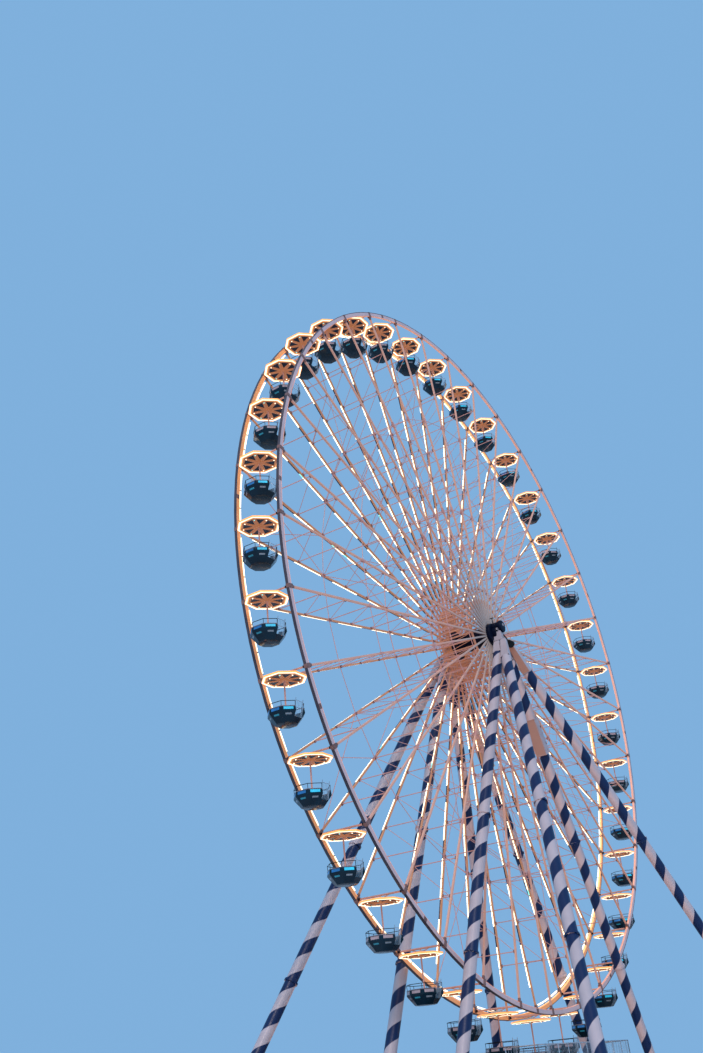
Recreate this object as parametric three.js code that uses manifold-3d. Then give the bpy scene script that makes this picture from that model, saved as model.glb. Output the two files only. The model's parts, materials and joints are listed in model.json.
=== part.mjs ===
// A fairground giant wheel with 36 open cabins, as a 1:2 scale model.
// Units are millimetres. +X runs along the wheel's plane, +Y along its axle and +Z up.
// The origin is on the ground under the middle of the axle, and -Y is the near side.
import * as THREE from 'three';
import { mergeVertices } from 'three/addons/utils/BufferGeometryUtils.js';
import Module from 'manifold-3d';

// The real sizes below are in metres, and real() turns them into millimetres of the model.
const MODEL_SCALE = 0.5;
const real = (metres) => metres * 1000 * MODEL_SCALE;
const RUNNING_GAP = 0.4;
const SEAT_GAP = 0.3;

// Wheel
const CABIN_COUNT = 36;
const HUB_HEIGHT = real(27.2);
const WHEEL_RADIUS = real(23.1);
const RIM_OFFSET = real(1.4);
const RIM_WIDTH = real(0.16);
const RIM_DEPTH = real(0.3);
const RIM_SEGMENTS = 72;
const FLANGE_OFFSET = real(1.31);
const FLANGE_RADIUS = real(1.1);
const FLANGE_THICKNESS = real(0.2);
const FLANGE_SIDES = 18;
const SPOKE_WIDTH = real(0.1);
const RING_RADII = [3.3, 8.9].map(real);
const TIE_RADIUS = real(0.045);
const TIE_SIDES = 3;
const BRACE_RING_RADIUS = real(2.5);
const BRACE_RING_WIDTH = real(0.12);
const BRACE_BAR_WIDTH = real(0.09);
const HUB_DRUM_RADIUS = real(0.6);
const HUB_DRUM_SIDES = 16;
const JOURNAL_RADIUS = real(0.3);
const JOURNAL_SIDES = 16;

// Cabins, with heights measured down from the axle that each one hangs on
const CABIN_SIDES = 8;
const SHAFT_HALF_WIDTH = real(0.06);
const CANOPY_RADIUS = real(1.15);
const CANOPY_EDGE_DROP = real(0.22);
const CANOPY_EDGE_HEIGHT = real(0.12);
const CANOPY_CROWN_DROP = real(0.12);
const POST_HALF_WIDTH = real(0.05);
const TUB_RIM_DROP = real(1.92);
const TUB_WAIST_DROP = real(2.15);
const TUB_FLOOR_DROP = real(2.5);
const TUB_BOTTOM_DROP = real(2.62);
const TUB_RIM_RADIUS = real(0.9);
const TUB_WAIST_RADIUS = real(0.93);
const TUB_BOTTOM_RADIUS = real(0.55);
const TUB_WALL = real(0.07);
const ENTRANCE_WIDTH = real(0.62);
const ENTRANCE_SILL_DROP = real(2.38);

// Bearing heads and legs
const COVER_DISC_FACES = [1.46, 1.62].map(real);
const COVER_DISC_RADIUS = real(0.74);
const HOUSING_RADIUS = real(0.42);
const HOUSING_END = real(2.4);
const HOUSING_BORE = real(0.32);
const HOUSING_SIDES = 18;
const APEX_OFFSET = real(2.05);
const SADDLE_HALF_DEPTH = real(0.3);
const SADDLE_HALF_WIDTH = real(0.55);
const SADDLE_TOP_DROP = real(0.1);
const SADDLE_BOTTOM_DROP = real(1.15);
const ARM_START_DROP = real(0.5);
const ARM_DEPTH = real(0.5);
const FRAME_ARM_WIDTH = real(0.56);
const OUTRIGGER_ARM_WIDTH = real(0.58);
const COLLAR_LENGTH = real(0.1);
const COLLAR_RADIUS = real(0.36);
const LEG_RADIUS = real(0.32);
const LEG_SIDES = 10;
const FRAME_LEG_SLOPE = 0.49;
const FRAME_SPLICE_DROP = real(2.2);
const OUTRIGGER_SLOPE = 0.561;
const OUTRIGGER_REACH = 0.3;
const OUTRIGGER_SPLICE_DROP = real(2.7);

// Ground frame and boarding platform
const BEAM_HEIGHT = real(0.45);
const FOOT_HEIGHT = real(0.3);
const FOOT_HALF_SIZE = real(0.6);
const FOOT_SOCKET_DEPTH = real(0.08);
const RAFT_INNER_X = real(12.2);
const RAFT_OUTER_X = real(15.8);
const RAFT_HALF_LENGTH = real(10.9);
const SILL_WIDTH = real(0.7);
const DECK_HALF_LENGTH = real(6.3);
const DECK_HALF_WIDTH = real(3.2);
const DECK_TOP = real(1.38);
const DECK_THICKNESS = real(0.16);
const TRESTLE_COUNT = 6;
const TRESTLE_THICKNESS = real(0.12);
const STEP_COUNT = 7;
const STEP_GOING = real(0.3);
const STEPS_HALF_WIDTH = real(1.3);

const wasm = await Module();
wasm.setup();

const wheelModel = new THREE.Group();
const Y_AXIS = new THREE.Vector3(0, 1, 0);
const HUB_CENTRE = new THREE.Vector3(0, 0, HUB_HEIGHT);

const paint = {
  lattice: { color: 0xd9a88a, roughness: 0.5, metalness: 0.2 },
  hub: { color: 0x141a2c, roughness: 0.45, metalness: 0.3 },
  white: { color: 0xd8d6d2, roughness: 0.45, metalness: 0.1 },
  navy: { color: 0x1c2f66, roughness: 0.45, metalness: 0.1 },
  cabin: { color: 0x17334f, roughness: 0.3, metalness: 0.1 },
  ground: { color: 0x8a8d90, roughness: 0.6, metalness: 0.4 },
  deck: { color: 0x6d6258, roughness: 0.8, metalness: 0.0 },
};

function addMesh(name, geometry, finish) {
  const mesh = new THREE.Mesh(geometry, new THREE.MeshStandardMaterial(finish));
  mesh.name = name;
  wheelModel.add(mesh);
  return mesh;
}

function toSolid(geometry) {
  const bare = geometry.index ? geometry.toNonIndexed() : geometry.clone();
  bare.deleteAttribute('normal');
  bare.deleteAttribute('uv');
  const merged = mergeVertices(bare, 1e-3);
  return new wasm.Manifold(new wasm.Mesh({
    numProp: 3,
    vertProperties: new Float32Array(merged.attributes.position.array),
    triVerts: new Uint32Array(merged.index.array),
  }));
}

function toGeometry(solid) {
  const mesh = solid.getMesh();
  const geometry = new THREE.BufferGeometry();
  geometry.setAttribute('position', new THREE.BufferAttribute(mesh.vertProperties, 3));
  geometry.setIndex(new THREE.BufferAttribute(mesh.triVerts, 1));
  return geometry;
}

function joinAll(geometries) {
  const solids = geometries.map(toSolid);
  while (solids.length > 1) solids.push(solids.shift().add(solids.shift()));
  return solids[0];
}

// A box between two corners.
function box(x0, y0, z0, x1, y1, z1) {
  const geometry = new THREE.BoxGeometry(x1 - x0, y1 - y0, z1 - z0);
  return geometry.translate((x0 + x1) / 2, (y0 + y1) / 2, (z0 + z1) / 2);
}

// A straight bar of square section, with two faces square to the given upright direction.
function bar(start, end, width, depth, upright) {
  const along = end.clone().sub(start);
  const length = along.length();
  along.normalize();
  const across = new THREE.Vector3().crossVectors(upright, along).normalize();
  const square = new THREE.Vector3().crossVectors(across, along);
  const geometry = new THREE.BoxGeometry(width, length, depth);
  const turn = new THREE.Matrix4().makeBasis(across, along, square);
  turn.setPosition(start.clone().add(end).multiplyScalar(0.5));
  return geometry.applyMatrix4(turn);
}

// A round bar with flat sides, along Y, from y0 to y1 and centred on the axle's height.
function axleBar(radius, sides, y0, y1) {
  const geometry = new THREE.CylinderGeometry(radius, radius, y1 - y0, sides);
  return geometry.translate(0, (y0 + y1) / 2, 0);
}

function wheelPoint(radius, angle, y) {
  return new THREE.Vector3(radius * Math.cos(angle), y, radius * Math.sin(angle));
}

const cabinAngle = (index) => (index / CABIN_COUNT) * 2 * Math.PI;

// A ring of box section around the axle, centred on the plane y = 0.
function ring(radius, depth, width, segments) {
  const [inner, outer, edge] = [radius - depth / 2, radius + depth / 2, width / 2];
  const section = [
    [inner, -edge], [outer, -edge], [outer, edge], [inner, edge], [inner, -edge],
  ].map(([x, y]) => new THREE.Vector2(x, y));
  return new THREE.LatheGeometry(section, segments);
}

// How far a spoke has moved outward from the hub flange's plane at a given radius.
function spokePlane(radius) {
  const share = radius / WHEEL_RADIUS;
  return FLANGE_OFFSET + (RIM_OFFSET - FLANGE_OFFSET) * share;
}

// One flat side of the wheel: rim, spokes, ties between the spokes, hub flange and journal.
function wheelSide(side) {
  const rim = ring(WHEEL_RADIUS, RIM_DEPTH, RIM_WIDTH, RIM_SEGMENTS);
  const parts = [rim.translate(0, side * RIM_OFFSET, 0)];
  const flangeFaces = [FLANGE_OFFSET - FLANGE_THICKNESS / 2, FLANGE_OFFSET + FLANGE_THICKNESS / 2];
  const journalEnds = [FLANGE_OFFSET, APEX_OFFSET - SADDLE_HALF_DEPTH - RUNNING_GAP];
  for (const [radius, sides, ends] of [
    [FLANGE_RADIUS, FLANGE_SIDES, flangeFaces], [JOURNAL_RADIUS, JOURNAL_SIDES, journalEnds],
  ]) {
    const [y0, y1] = ends.map((end) => side * end).sort((a, b) => a - b);
    parts.push(axleBar(radius, sides, y0, y1));
  }
  for (let index = 0; index < CABIN_COUNT; index += 1) {
    const angle = cabinAngle(index);
    const next = cabinAngle(index + 1);
    const root = wheelPoint(FLANGE_RADIUS / 2, angle, side * spokePlane(FLANGE_RADIUS / 2));
    const tip = wheelPoint(WHEEL_RADIUS, angle, side * RIM_OFFSET);
    parts.push(bar(root, tip, SPOKE_WIDTH, SPOKE_WIDTH, Y_AXIS));
    for (const radius of RING_RADII) {
      const y = side * spokePlane(radius);
      const [start, end] = [wheelPoint(radius, angle, y), wheelPoint(radius, next, y)];
      parts.push(tube(start, end, TIE_RADIUS, TIE_SIDES));
    }
  }
  return parts;
}

// The ring of braces around the hub: two hoops just inside the spokes, and a bar across at each one.
function braceRing() {
  const face = spokePlane(BRACE_RING_RADIUS) - SPOKE_WIDTH / 2 - SEAT_GAP;
  const centre = face - BRACE_RING_WIDTH / 2;
  const parts = [-centre, centre].map((y) => {
    const hoop = ring(BRACE_RING_RADIUS, BRACE_RING_WIDTH, BRACE_RING_WIDTH, CABIN_COUNT);
    return hoop.translate(0, y, 0);
  });
  for (let index = 0; index < CABIN_COUNT; index += 1) {
    const angle = cabinAngle(index);
    const [start, end] = [-centre, centre].map((y) => wheelPoint(BRACE_RING_RADIUS, angle, y));
    parts.push(bar(start, end, BRACE_BAR_WIDTH, BRACE_BAR_WIDTH, wheelPoint(1, angle, 0)));
  }
  return parts;
}

function addWheel() {
  for (const [name, parts] of [
    ['wheel_near_side', wheelSide(-1)], ['wheel_far_side', wheelSide(1)],
    ['hub_brace_ring', braceRing()],
  ]) {
    addMesh(name, toGeometry(joinAll(parts)), paint.lattice).position.copy(HUB_CENTRE);
  }
  const drumEnd = FLANGE_OFFSET - FLANGE_THICKNESS / 2 - SEAT_GAP;
  const drum = axleBar(HUB_DRUM_RADIUS, HUB_DRUM_SIDES, -drumEnd, drumEnd);
  addMesh('hub_drum', drum, paint.hub).position.copy(HUB_CENTRE);
}

// A faceted form turned about the cabin's upright centre line, with a flat side towards +X.
function turned(profile) {
  const points = profile.map(([radius, drop]) => new THREE.Vector2(radius, -drop));
  const geometry = new THREE.LatheGeometry(points, CABIN_SIDES);
  return geometry.rotateX(Math.PI / 2).rotateZ(Math.PI / CABIN_SIDES);
}

function canopyForm() {
  return turned([
    [0, CANOPY_EDGE_DROP + CANOPY_EDGE_HEIGHT],
    [CANOPY_RADIUS, CANOPY_EDGE_DROP + CANOPY_EDGE_HEIGHT],
    [CANOPY_RADIUS, CANOPY_EDGE_DROP],
    [0, CANOPY_CROWN_DROP],
  ]);
}

function tubForm() {
  return turned([
    [0, TUB_BOTTOM_DROP],
    [TUB_BOTTOM_RADIUS, TUB_BOTTOM_DROP],
    [TUB_WAIST_RADIUS, TUB_WAIST_DROP],
    [TUB_RIM_RADIUS, TUB_RIM_DROP],
    [TUB_RIM_RADIUS - TUB_WALL, TUB_RIM_DROP],
    [TUB_BOTTOM_RADIUS, TUB_FLOOR_DROP],
    [0, TUB_FLOOR_DROP],
  ]);
}

// A cabin about its own axle: shaft, centre post, canopy, and tub with an entrance on the near side.
function cabinForm() {
  const shaftEnd = RIM_OFFSET - RIM_WIDTH / 2 - RUNNING_GAP;
  const post = box(
    -POST_HALF_WIDTH, -POST_HALF_WIDTH, -TUB_FLOOR_DROP - TUB_WALL / 2,
    POST_HALF_WIDTH, POST_HALF_WIDTH, 0,
  );
  const shaft = box(
    -SHAFT_HALF_WIDTH, -shaftEnd, -SHAFT_HALF_WIDTH, SHAFT_HALF_WIDTH, shaftEnd, SHAFT_HALF_WIDTH,
  );
  const entrance = box(
    -ENTRANCE_WIDTH / 2, -TUB_RIM_RADIUS * 2, -ENTRANCE_SILL_DROP,
    ENTRANCE_WIDTH / 2, 0, -TUB_RIM_DROP + TUB_WALL,
  );
  const tub = toSolid(tubForm()).subtract(toSolid(entrance));
  return joinAll([shaft, canopyForm(), post]).add(tub);
}

function addCabins() {
  const form = toGeometry(cabinForm());
  for (let index = 0; index < CABIN_COUNT; index += 1) {
    const name = `cabin_${String(index + 1).padStart(2, '0')}`;
    const cabin = addMesh(name, form.clone(), paint.cabin);
    cabin.position.copy(wheelPoint(WHEEL_RADIUS, cabinAngle(index), 0).add(HUB_CENTRE));
  }
}

// The four legs of one side run down and out from the apex. Slopes are travel per unit of drop.
const LEG_LAYOUT = {
  frame_leg_left: {
    slope: -FRAME_LEG_SLOPE, reach: 0, spliceDrop: FRAME_SPLICE_DROP, armWidth: FRAME_ARM_WIDTH,
  },
  frame_leg_right: {
    slope: FRAME_LEG_SLOPE, reach: 0, spliceDrop: FRAME_SPLICE_DROP, armWidth: FRAME_ARM_WIDTH,
  },
  outrigger_left: {
    slope: -OUTRIGGER_SLOPE,
    reach: OUTRIGGER_REACH,
    spliceDrop: OUTRIGGER_SPLICE_DROP,
    armWidth: OUTRIGGER_ARM_WIDTH,
  },
  outrigger_right: {
    slope: OUTRIGGER_SLOPE,
    reach: OUTRIGGER_REACH,
    spliceDrop: OUTRIGGER_SPLICE_DROP,
    armWidth: OUTRIGGER_ARM_WIDTH,
  },
};

// The point on a leg's centre line at a given drop below the apex.
function legPoint(leg, side, drop) {
  return new THREE.Vector3(leg.slope, side * leg.reach, -1).multiplyScalar(drop).add(apex(side));
}

function apex(side) {
  return new THREE.Vector3(0, side * APEX_OFFSET, HUB_HEIGHT);
}

// A round tube between two points, as a flat-sided cylinder.
function tube(start, end, radius, sides) {
  const along = end.clone().sub(start);
  const geometry = new THREE.CylinderGeometry(radius, radius, along.length(), sides);
  geometry.applyQuaternion(new THREE.Quaternion().setFromUnitVectors(Y_AXIS, along.normalize()));
  const middle = start.clone().add(end).multiplyScalar(0.5);
  return geometry.translate(middle.x, middle.y, middle.z);
}

// The axle's housing with its cover disc, as one turned form with a blind bore from the wheel's side.
function axleHousing(side) {
  const [discFace, discBack] = COVER_DISC_FACES;
  const boreEnd = APEX_OFFSET - SADDLE_HALF_DEPTH;
  const profile = [
    [0, boreEnd], [HOUSING_BORE, boreEnd], [HOUSING_BORE, discFace], [COVER_DISC_RADIUS, discFace],
    [COVER_DISC_RADIUS, discBack], [HOUSING_RADIUS, discBack], [HOUSING_RADIUS, HOUSING_END],
    [0, HOUSING_END],
  ].map(([radius, y]) => new THREE.Vector2(radius, y));
  const housing = new THREE.LatheGeometry(profile, HOUSING_SIDES);
  if (side < 0) housing.rotateX(Math.PI);
  return housing.translate(0, 0, HUB_HEIGHT);
}

// The saddle under the axle that the four legs hang from, its arms, and the axle's housing.
function bearingHead(side) {
  const top = apex(side);
  const parts = [axleHousing(side), box(
    -SADDLE_HALF_WIDTH, top.y - SADDLE_HALF_DEPTH, top.z - SADDLE_BOTTOM_DROP,
    SADDLE_HALF_WIDTH, top.y + SADDLE_HALF_DEPTH, top.z - SADDLE_TOP_DROP,
  )];
  for (const leg of Object.values(LEG_LAYOUT)) {
    const root = legPoint(leg, side, ARM_START_DROP);
    const splice = legPoint(leg, side, leg.spliceDrop);
    parts.push(bar(root, splice, leg.armWidth, ARM_DEPTH, Y_AXIS));
  }
  return joinAll(parts);
}

// One leg from its splice at the head to the foot plate on the ground frame.
function legForm(leg, side) {
  const footBottom = BEAM_HEIGHT + SEAT_GAP;
  const footTop = footBottom + FOOT_HEIGHT;
  const foot = legPoint(leg, side, HUB_HEIGHT - footTop + FOOT_SOCKET_DEPTH);
  const start = legPoint(leg, side, leg.spliceDrop + SEAT_GAP);
  const collarEnd = legPoint(leg, side, leg.spliceDrop + SEAT_GAP + COLLAR_LENGTH);
  const plate = box(
    foot.x - FOOT_HALF_SIZE, foot.y - FOOT_HALF_SIZE, footBottom,
    foot.x + FOOT_HALF_SIZE, foot.y + FOOT_HALF_SIZE, footTop,
  );
  return joinAll([
    tube(start, foot, LEG_RADIUS, LEG_SIDES), tube(start, collarEnd, COLLAR_RADIUS, LEG_SIDES), plate,
  ]);
}

function addSupports() {
  for (const [sideName, side] of [['near', -1], ['far', 1]]) {
    addMesh(`${sideName}_bearing_head`, toGeometry(bearingHead(side)), paint.white);
    for (const [legName, leg] of Object.entries(LEG_LAYOUT)) {
      addMesh(`${sideName}_${legName}`, toGeometry(legForm(leg, side)), paint.navy);
    }
  }
}

function addGroundFrame() {
  const sillEnd = RAFT_INNER_X - SEAT_GAP;
  const outerSill = RAFT_HALF_LENGTH - SILL_WIDTH / 2;
  for (const [name, x0, x1] of [
    ['left_raft_beam', -RAFT_OUTER_X, -RAFT_INNER_X], ['right_raft_beam', RAFT_INNER_X, RAFT_OUTER_X],
  ]) {
    addMesh(name, box(x0, -RAFT_HALF_LENGTH, 0, x1, RAFT_HALF_LENGTH, BEAM_HEIGHT), paint.ground);
  }
  for (const [name, y] of [
    ['near_outer_sill', -outerSill], ['near_inner_sill', -APEX_OFFSET],
    ['far_inner_sill', APEX_OFFSET], ['far_outer_sill', outerSill],
  ]) {
    const sill = box(-sillEnd, y - SILL_WIDTH / 2, 0, sillEnd, y + SILL_WIDTH / 2, BEAM_HEIGHT);
    addMesh(name, sill, paint.ground);
  }
}

// The deck that riders board from, on trestles that stand on the two inner sills.
function addPlatform() {
  const deckBottom = DECK_TOP - DECK_THICKNESS;
  const parts = [box(
    -DECK_HALF_LENGTH, -DECK_HALF_WIDTH, deckBottom, DECK_HALF_LENGTH, DECK_HALF_WIDTH, DECK_TOP,
  )];
  const foot = BEAM_HEIGHT + SEAT_GAP;
  const spacing = (2 * DECK_HALF_LENGTH - TRESTLE_THICKNESS) / (TRESTLE_COUNT - 1);
  for (let index = 0; index < TRESTLE_COUNT; index += 1) {
    const x = -DECK_HALF_LENGTH + index * spacing;
    const overlap = DECK_THICKNESS / 2;
    parts.push(box(
      x, -DECK_HALF_WIDTH, foot, x + TRESTLE_THICKNESS, DECK_HALF_WIDTH, deckBottom + overlap,
    ));
  }
  addMesh('boarding_platform', toGeometry(joinAll(parts)), paint.deck);
}

// One flight of steps, as a stepped block that leans against the end of the deck.
function stepsForm(direction) {
  const rise = DECK_TOP / (STEP_COUNT + 1);
  const outline = new THREE.Shape();
  outline.moveTo(0, 0);
  outline.lineTo(STEP_COUNT * STEP_GOING, 0);
  for (let step = 1; step <= STEP_COUNT; step += 1) {
    outline.lineTo((STEP_COUNT - step + 1) * STEP_GOING, step * rise);
    outline.lineTo((STEP_COUNT - step) * STEP_GOING, step * rise);
  }
  outline.closePath();
  const block = new THREE.ExtrudeGeometry(outline, { depth: 2 * STEPS_HALF_WIDTH, bevelEnabled: false });
  block.rotateX(Math.PI / 2).translate(0, STEPS_HALF_WIDTH, 0);
  if (direction < 0) block.rotateZ(Math.PI);
  return block.translate(direction * (DECK_HALF_LENGTH + SEAT_GAP), 0, 0);
}

function addSteps() {
  addMesh('entrance_steps', stepsForm(-1), paint.deck);
  addMesh('exit_steps', stepsForm(1), paint.deck);
}

addWheel();
addCabins();
addSupports();
addGroundFrame();
addPlatform();
addSteps();

export default wheelModel;
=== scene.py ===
# %% [markdown]
# # A fairground giant wheel, dressed over its fixed frame
# The wheel is a 1:2 model of a ride about 50 m tall. The frame holds the solids that carry and
# move; every cell below adds the shapes and finishes that the eye sees, and hangs each new piece
# on the body that carries it, so that the wheel can turn while its cabins stay level.

# %% Load the frame and note its box
import json
import math
import random
import bmesh
import bpy
from mathutils import Matrix, Vector


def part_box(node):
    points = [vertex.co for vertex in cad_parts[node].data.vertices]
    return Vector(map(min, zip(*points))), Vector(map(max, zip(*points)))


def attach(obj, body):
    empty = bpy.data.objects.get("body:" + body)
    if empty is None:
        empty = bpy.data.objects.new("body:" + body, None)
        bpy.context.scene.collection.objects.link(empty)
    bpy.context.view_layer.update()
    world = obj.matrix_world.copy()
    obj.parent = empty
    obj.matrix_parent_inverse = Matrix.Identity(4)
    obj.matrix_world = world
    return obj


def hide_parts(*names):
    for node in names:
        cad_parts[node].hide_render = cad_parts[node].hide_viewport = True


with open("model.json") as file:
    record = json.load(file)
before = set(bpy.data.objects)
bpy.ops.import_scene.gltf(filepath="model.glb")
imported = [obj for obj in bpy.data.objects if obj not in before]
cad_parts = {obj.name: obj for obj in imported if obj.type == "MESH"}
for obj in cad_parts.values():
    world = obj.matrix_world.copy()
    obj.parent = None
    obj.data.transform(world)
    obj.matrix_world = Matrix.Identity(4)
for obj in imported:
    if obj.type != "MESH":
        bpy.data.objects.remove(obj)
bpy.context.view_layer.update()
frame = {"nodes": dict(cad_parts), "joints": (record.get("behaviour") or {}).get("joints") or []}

# %% [markdown]
# ## Sizes
# Every size in this lesson is the real ride's, in metres, and every shape is built at that size.
# Only the step that turns a shape into a piece shrinks it to the model. What the frame already
# knows isn't written again: the hub's height, the wheel's radius and the number of cabins are read
# from its joints. That way the dress can't drift away from the solids.

# %% Sizes read from the frame
MODEL_SCALE = 0.5
FULL_TURN = 2 * math.pi
ORIGIN = Vector((0, 0, 0))
X_AXIS, Y_AXIS, Z_AXIS = Vector((1, 0, 0)), Vector((0, 1, 0)), Vector((0, 0, 1))
SIDES = {"near": -1, "far": 1}

joint_place = {joint["name"]: Vector(joint["pos_m"]) / MODEL_SCALE for joint in frame["joints"]}
cabin_names = sorted(name for name in frame["nodes"] if name.startswith("cabin_"))
cabin_axle = {name: joint_place[f"{name}_swing"] for name in cabin_names}
HUB = joint_place["wheel_spin"]
WHEEL_RADIUS = (cabin_axle["cabin_01"] - HUB).length
BAY = FULL_TURN / len(cabin_names)


def node_box(name):
    """The two corners of a frame node's box, in the real ride's metres."""
    return [corner / MODEL_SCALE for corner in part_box(name)]


print("hub", HUB.z, "m up, wheel radius", round(WHEEL_RADIUS, 3), "m,", len(cabin_names), "cabins")

# %% [markdown]
# ## Camera
# The viewer stands close to the foot of the wheel, to the left of its axle, and looks steeply up
# with the camera leaning a little. The camera could be aimed by a constraint, but a written place
# and three angles are easier to read and can't drift when a piece changes its size.

# %% Camera at the viewer's place
CAMERA_PLACE = Vector((-60.936, -28.884, 1.16))
CAMERA_YAW, CAMERA_PITCH, CAMERA_ROLL = (math.radians(angle) for angle in (58.32, 28.008, -5.63))
CAMERA_LENS = 36.14

camera = bpy.data.objects.new("viewer_camera", bpy.data.cameras.new("viewer_camera"))
bpy.context.scene.collection.objects.link(camera)
camera.data.sensor_width = 36
camera.data.lens = CAMERA_LENS
camera.data.clip_end = 500
camera.matrix_world = (
    Matrix.Translation(CAMERA_PLACE * MODEL_SCALE)
    @ Matrix.Rotation(-CAMERA_YAW, 4, "Z")
    @ Matrix.Rotation(math.pi / 2 + CAMERA_PITCH, 4, "X")
    @ Matrix.Rotation(CAMERA_ROLL, 4, "Z")
)
bpy.context.scene.camera = camera
print("camera stands", round((CAMERA_PLACE - HUB).length, 1), "m from the hub")

# %% [markdown]
# ## Studio
# A lit ride needs a background that is darker than its lamps and lighter than its dark cabins, so
# the studio is a plain pale blue with one broad soft key light. The floor is one pale sheet,
# with its middle under the wheel. A backdrop wall would have to stand far away, and would throw a
# shadow; the world colour does the same work.

# %% Helpers for shader nodes
def new_material(name):
    material = bpy.data.materials.new(name)
    material.use_nodes = True
    tree = material.node_tree
    return material, tree, tree.nodes["Principled BSDF"]


def node(tree, kind, **settings):
    made = tree.nodes.new(kind)
    for key, value in settings.items():
        setattr(made, key, value)
    return made


def opaque(colour):
    return (*colour, 1.0)


# %% Floor, world and lights
STUDIO_COLOUR = (0.215, 0.435, 0.72)
FLOOR_SIZE = 60.0
KEY_STRENGTH, FILL_STRENGTH = 1.7, 0.8

world = bpy.data.worlds.new("pale_studio")
world.use_nodes = True
world.node_tree.nodes["Background"].inputs["Color"].default_value = opaque(STUDIO_COLOUR)
bpy.context.scene.world = world
bpy.context.scene.view_settings.view_transform = "Standard"

floor_shape = bmesh.new()
bmesh.ops.create_grid(floor_shape, x_segments=8, y_segments=8, size=FLOOR_SIZE)
floor_mesh = bpy.data.meshes.new("studio_floor")
floor_shape.to_mesh(floor_mesh)
floor_shape.free()
floor_paint, _, floor_shader = new_material("pale_floor")
floor_shader.inputs["Base Color"].default_value = opaque((0.62, 0.64, 0.66))
floor_shader.inputs["Roughness"].default_value = 0.8
floor_mesh.materials.append(floor_paint)
floor = bpy.data.objects.new("studio_floor", floor_mesh)
bpy.context.scene.collection.objects.link(floor)


def add_sun(name, colour, strength, softness, pitch, turn):
    light = bpy.data.lights.new(name, "SUN")
    light.color = colour
    light.energy = strength
    light.angle = math.radians(softness)
    lamp = bpy.data.objects.new(name, light)
    lamp.rotation_euler = (math.radians(pitch), 0, math.radians(turn))
    bpy.context.scene.collection.objects.link(lamp)


add_sun("key_light", (1.0, 0.86, 0.78), KEY_STRENGTH, 25, 52, -58)
add_sun("low_fill_light", (1.0, 0.84, 0.7), FILL_STRENGTH, 40, 118, -70)
print("studio ready,", len(bpy.data.lights), "lights")

# %% [markdown]
# ## Shape helpers
# Almost every part of a lattice wheel is a straight bar, a round tube or a turned ring. Three small
# helpers make those with bmesh operators, and a fourth repeats one bay all the way round the axle.
# Array modifiers could repeat it too, but a spin with copies keeps the place in the mesh.

# %% Bars and boxes
def around(middle, half):
    return middle - half, middle + half


def new_faces(made):
    return {face for vertex in made["verts"] for face in vertex.link_faces}


def paint_faces(faces, finish):
    for face in faces:
        face.material_index = finish


def along_turn(start, end, upright):
    """A frame whose Y runs from start to end and whose Z stays as near upright as it can."""
    along = (end - start).normalized()
    across = along.cross(upright).normalized()
    square = across.cross(along).normalized()
    turn = Matrix((across, along, square)).transposed().to_4x4()
    return Matrix.Translation((start + end) / 2) @ turn


def add_bar(shape, start, end, width, depth, upright=Y_AXIS, finish=0, chamfer=0.0, growth=1.0):
    """A box bar: its width lies across upright, its depth along it, and growth widens its end."""
    size = Matrix.Diagonal((width, (end - start).length, depth, 1))
    made = bmesh.ops.create_cube(shape, size=1, matrix=size)
    for vertex in made["verts"]:
        if vertex.co.y > 0:
            vertex.co.x *= growth
            vertex.co.z *= growth
    bmesh.ops.transform(shape, matrix=along_turn(start, end, upright), verts=made["verts"])
    faces = new_faces(made)
    paint_faces(faces, finish)
    if chamfer:
        edges = list({edge for face in faces for edge in face.edges})
        bmesh.ops.bevel(shape, geom=edges, offset=chamfer, offset_type="OFFSET", affect="EDGES",
                        segments=1, profile=0.5, material=-1)


def add_box(shape, x_ends, y_ends, z_ends, finish=0, chamfer=0.0):
    """A box between two values on each axis, which may come in either order."""
    (left, right), (front, back), (low, high) = sorted(x_ends), sorted(y_ends), sorted(z_ends)
    middle_x, middle_z = (left + right) / 2, (low + high) / 2
    add_bar(shape, Vector((middle_x, front, middle_z)), Vector((middle_x, back, middle_z)), right - left,
            high - low, Z_AXIS, finish, chamfer)


# %% Tubes and turned forms
WELD_DISTANCE = 2e-5


def add_tube(shape, start, end, radius, sides, finish=0, end_radius=None):
    """A round bar whose flat ends are closed; the radius may change towards its end."""
    turn = (end - start).to_track_quat("Z", "Y").to_matrix().to_4x4()
    made = bmesh.ops.create_cone(
        shape, cap_ends=True, segments=sides, radius1=radius,
        radius2=radius if end_radius is None else end_radius,
        depth=(end - start).length, matrix=Matrix.Translation((start + end) / 2) @ turn)
    paint_faces(new_faces(made), finish)


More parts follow.
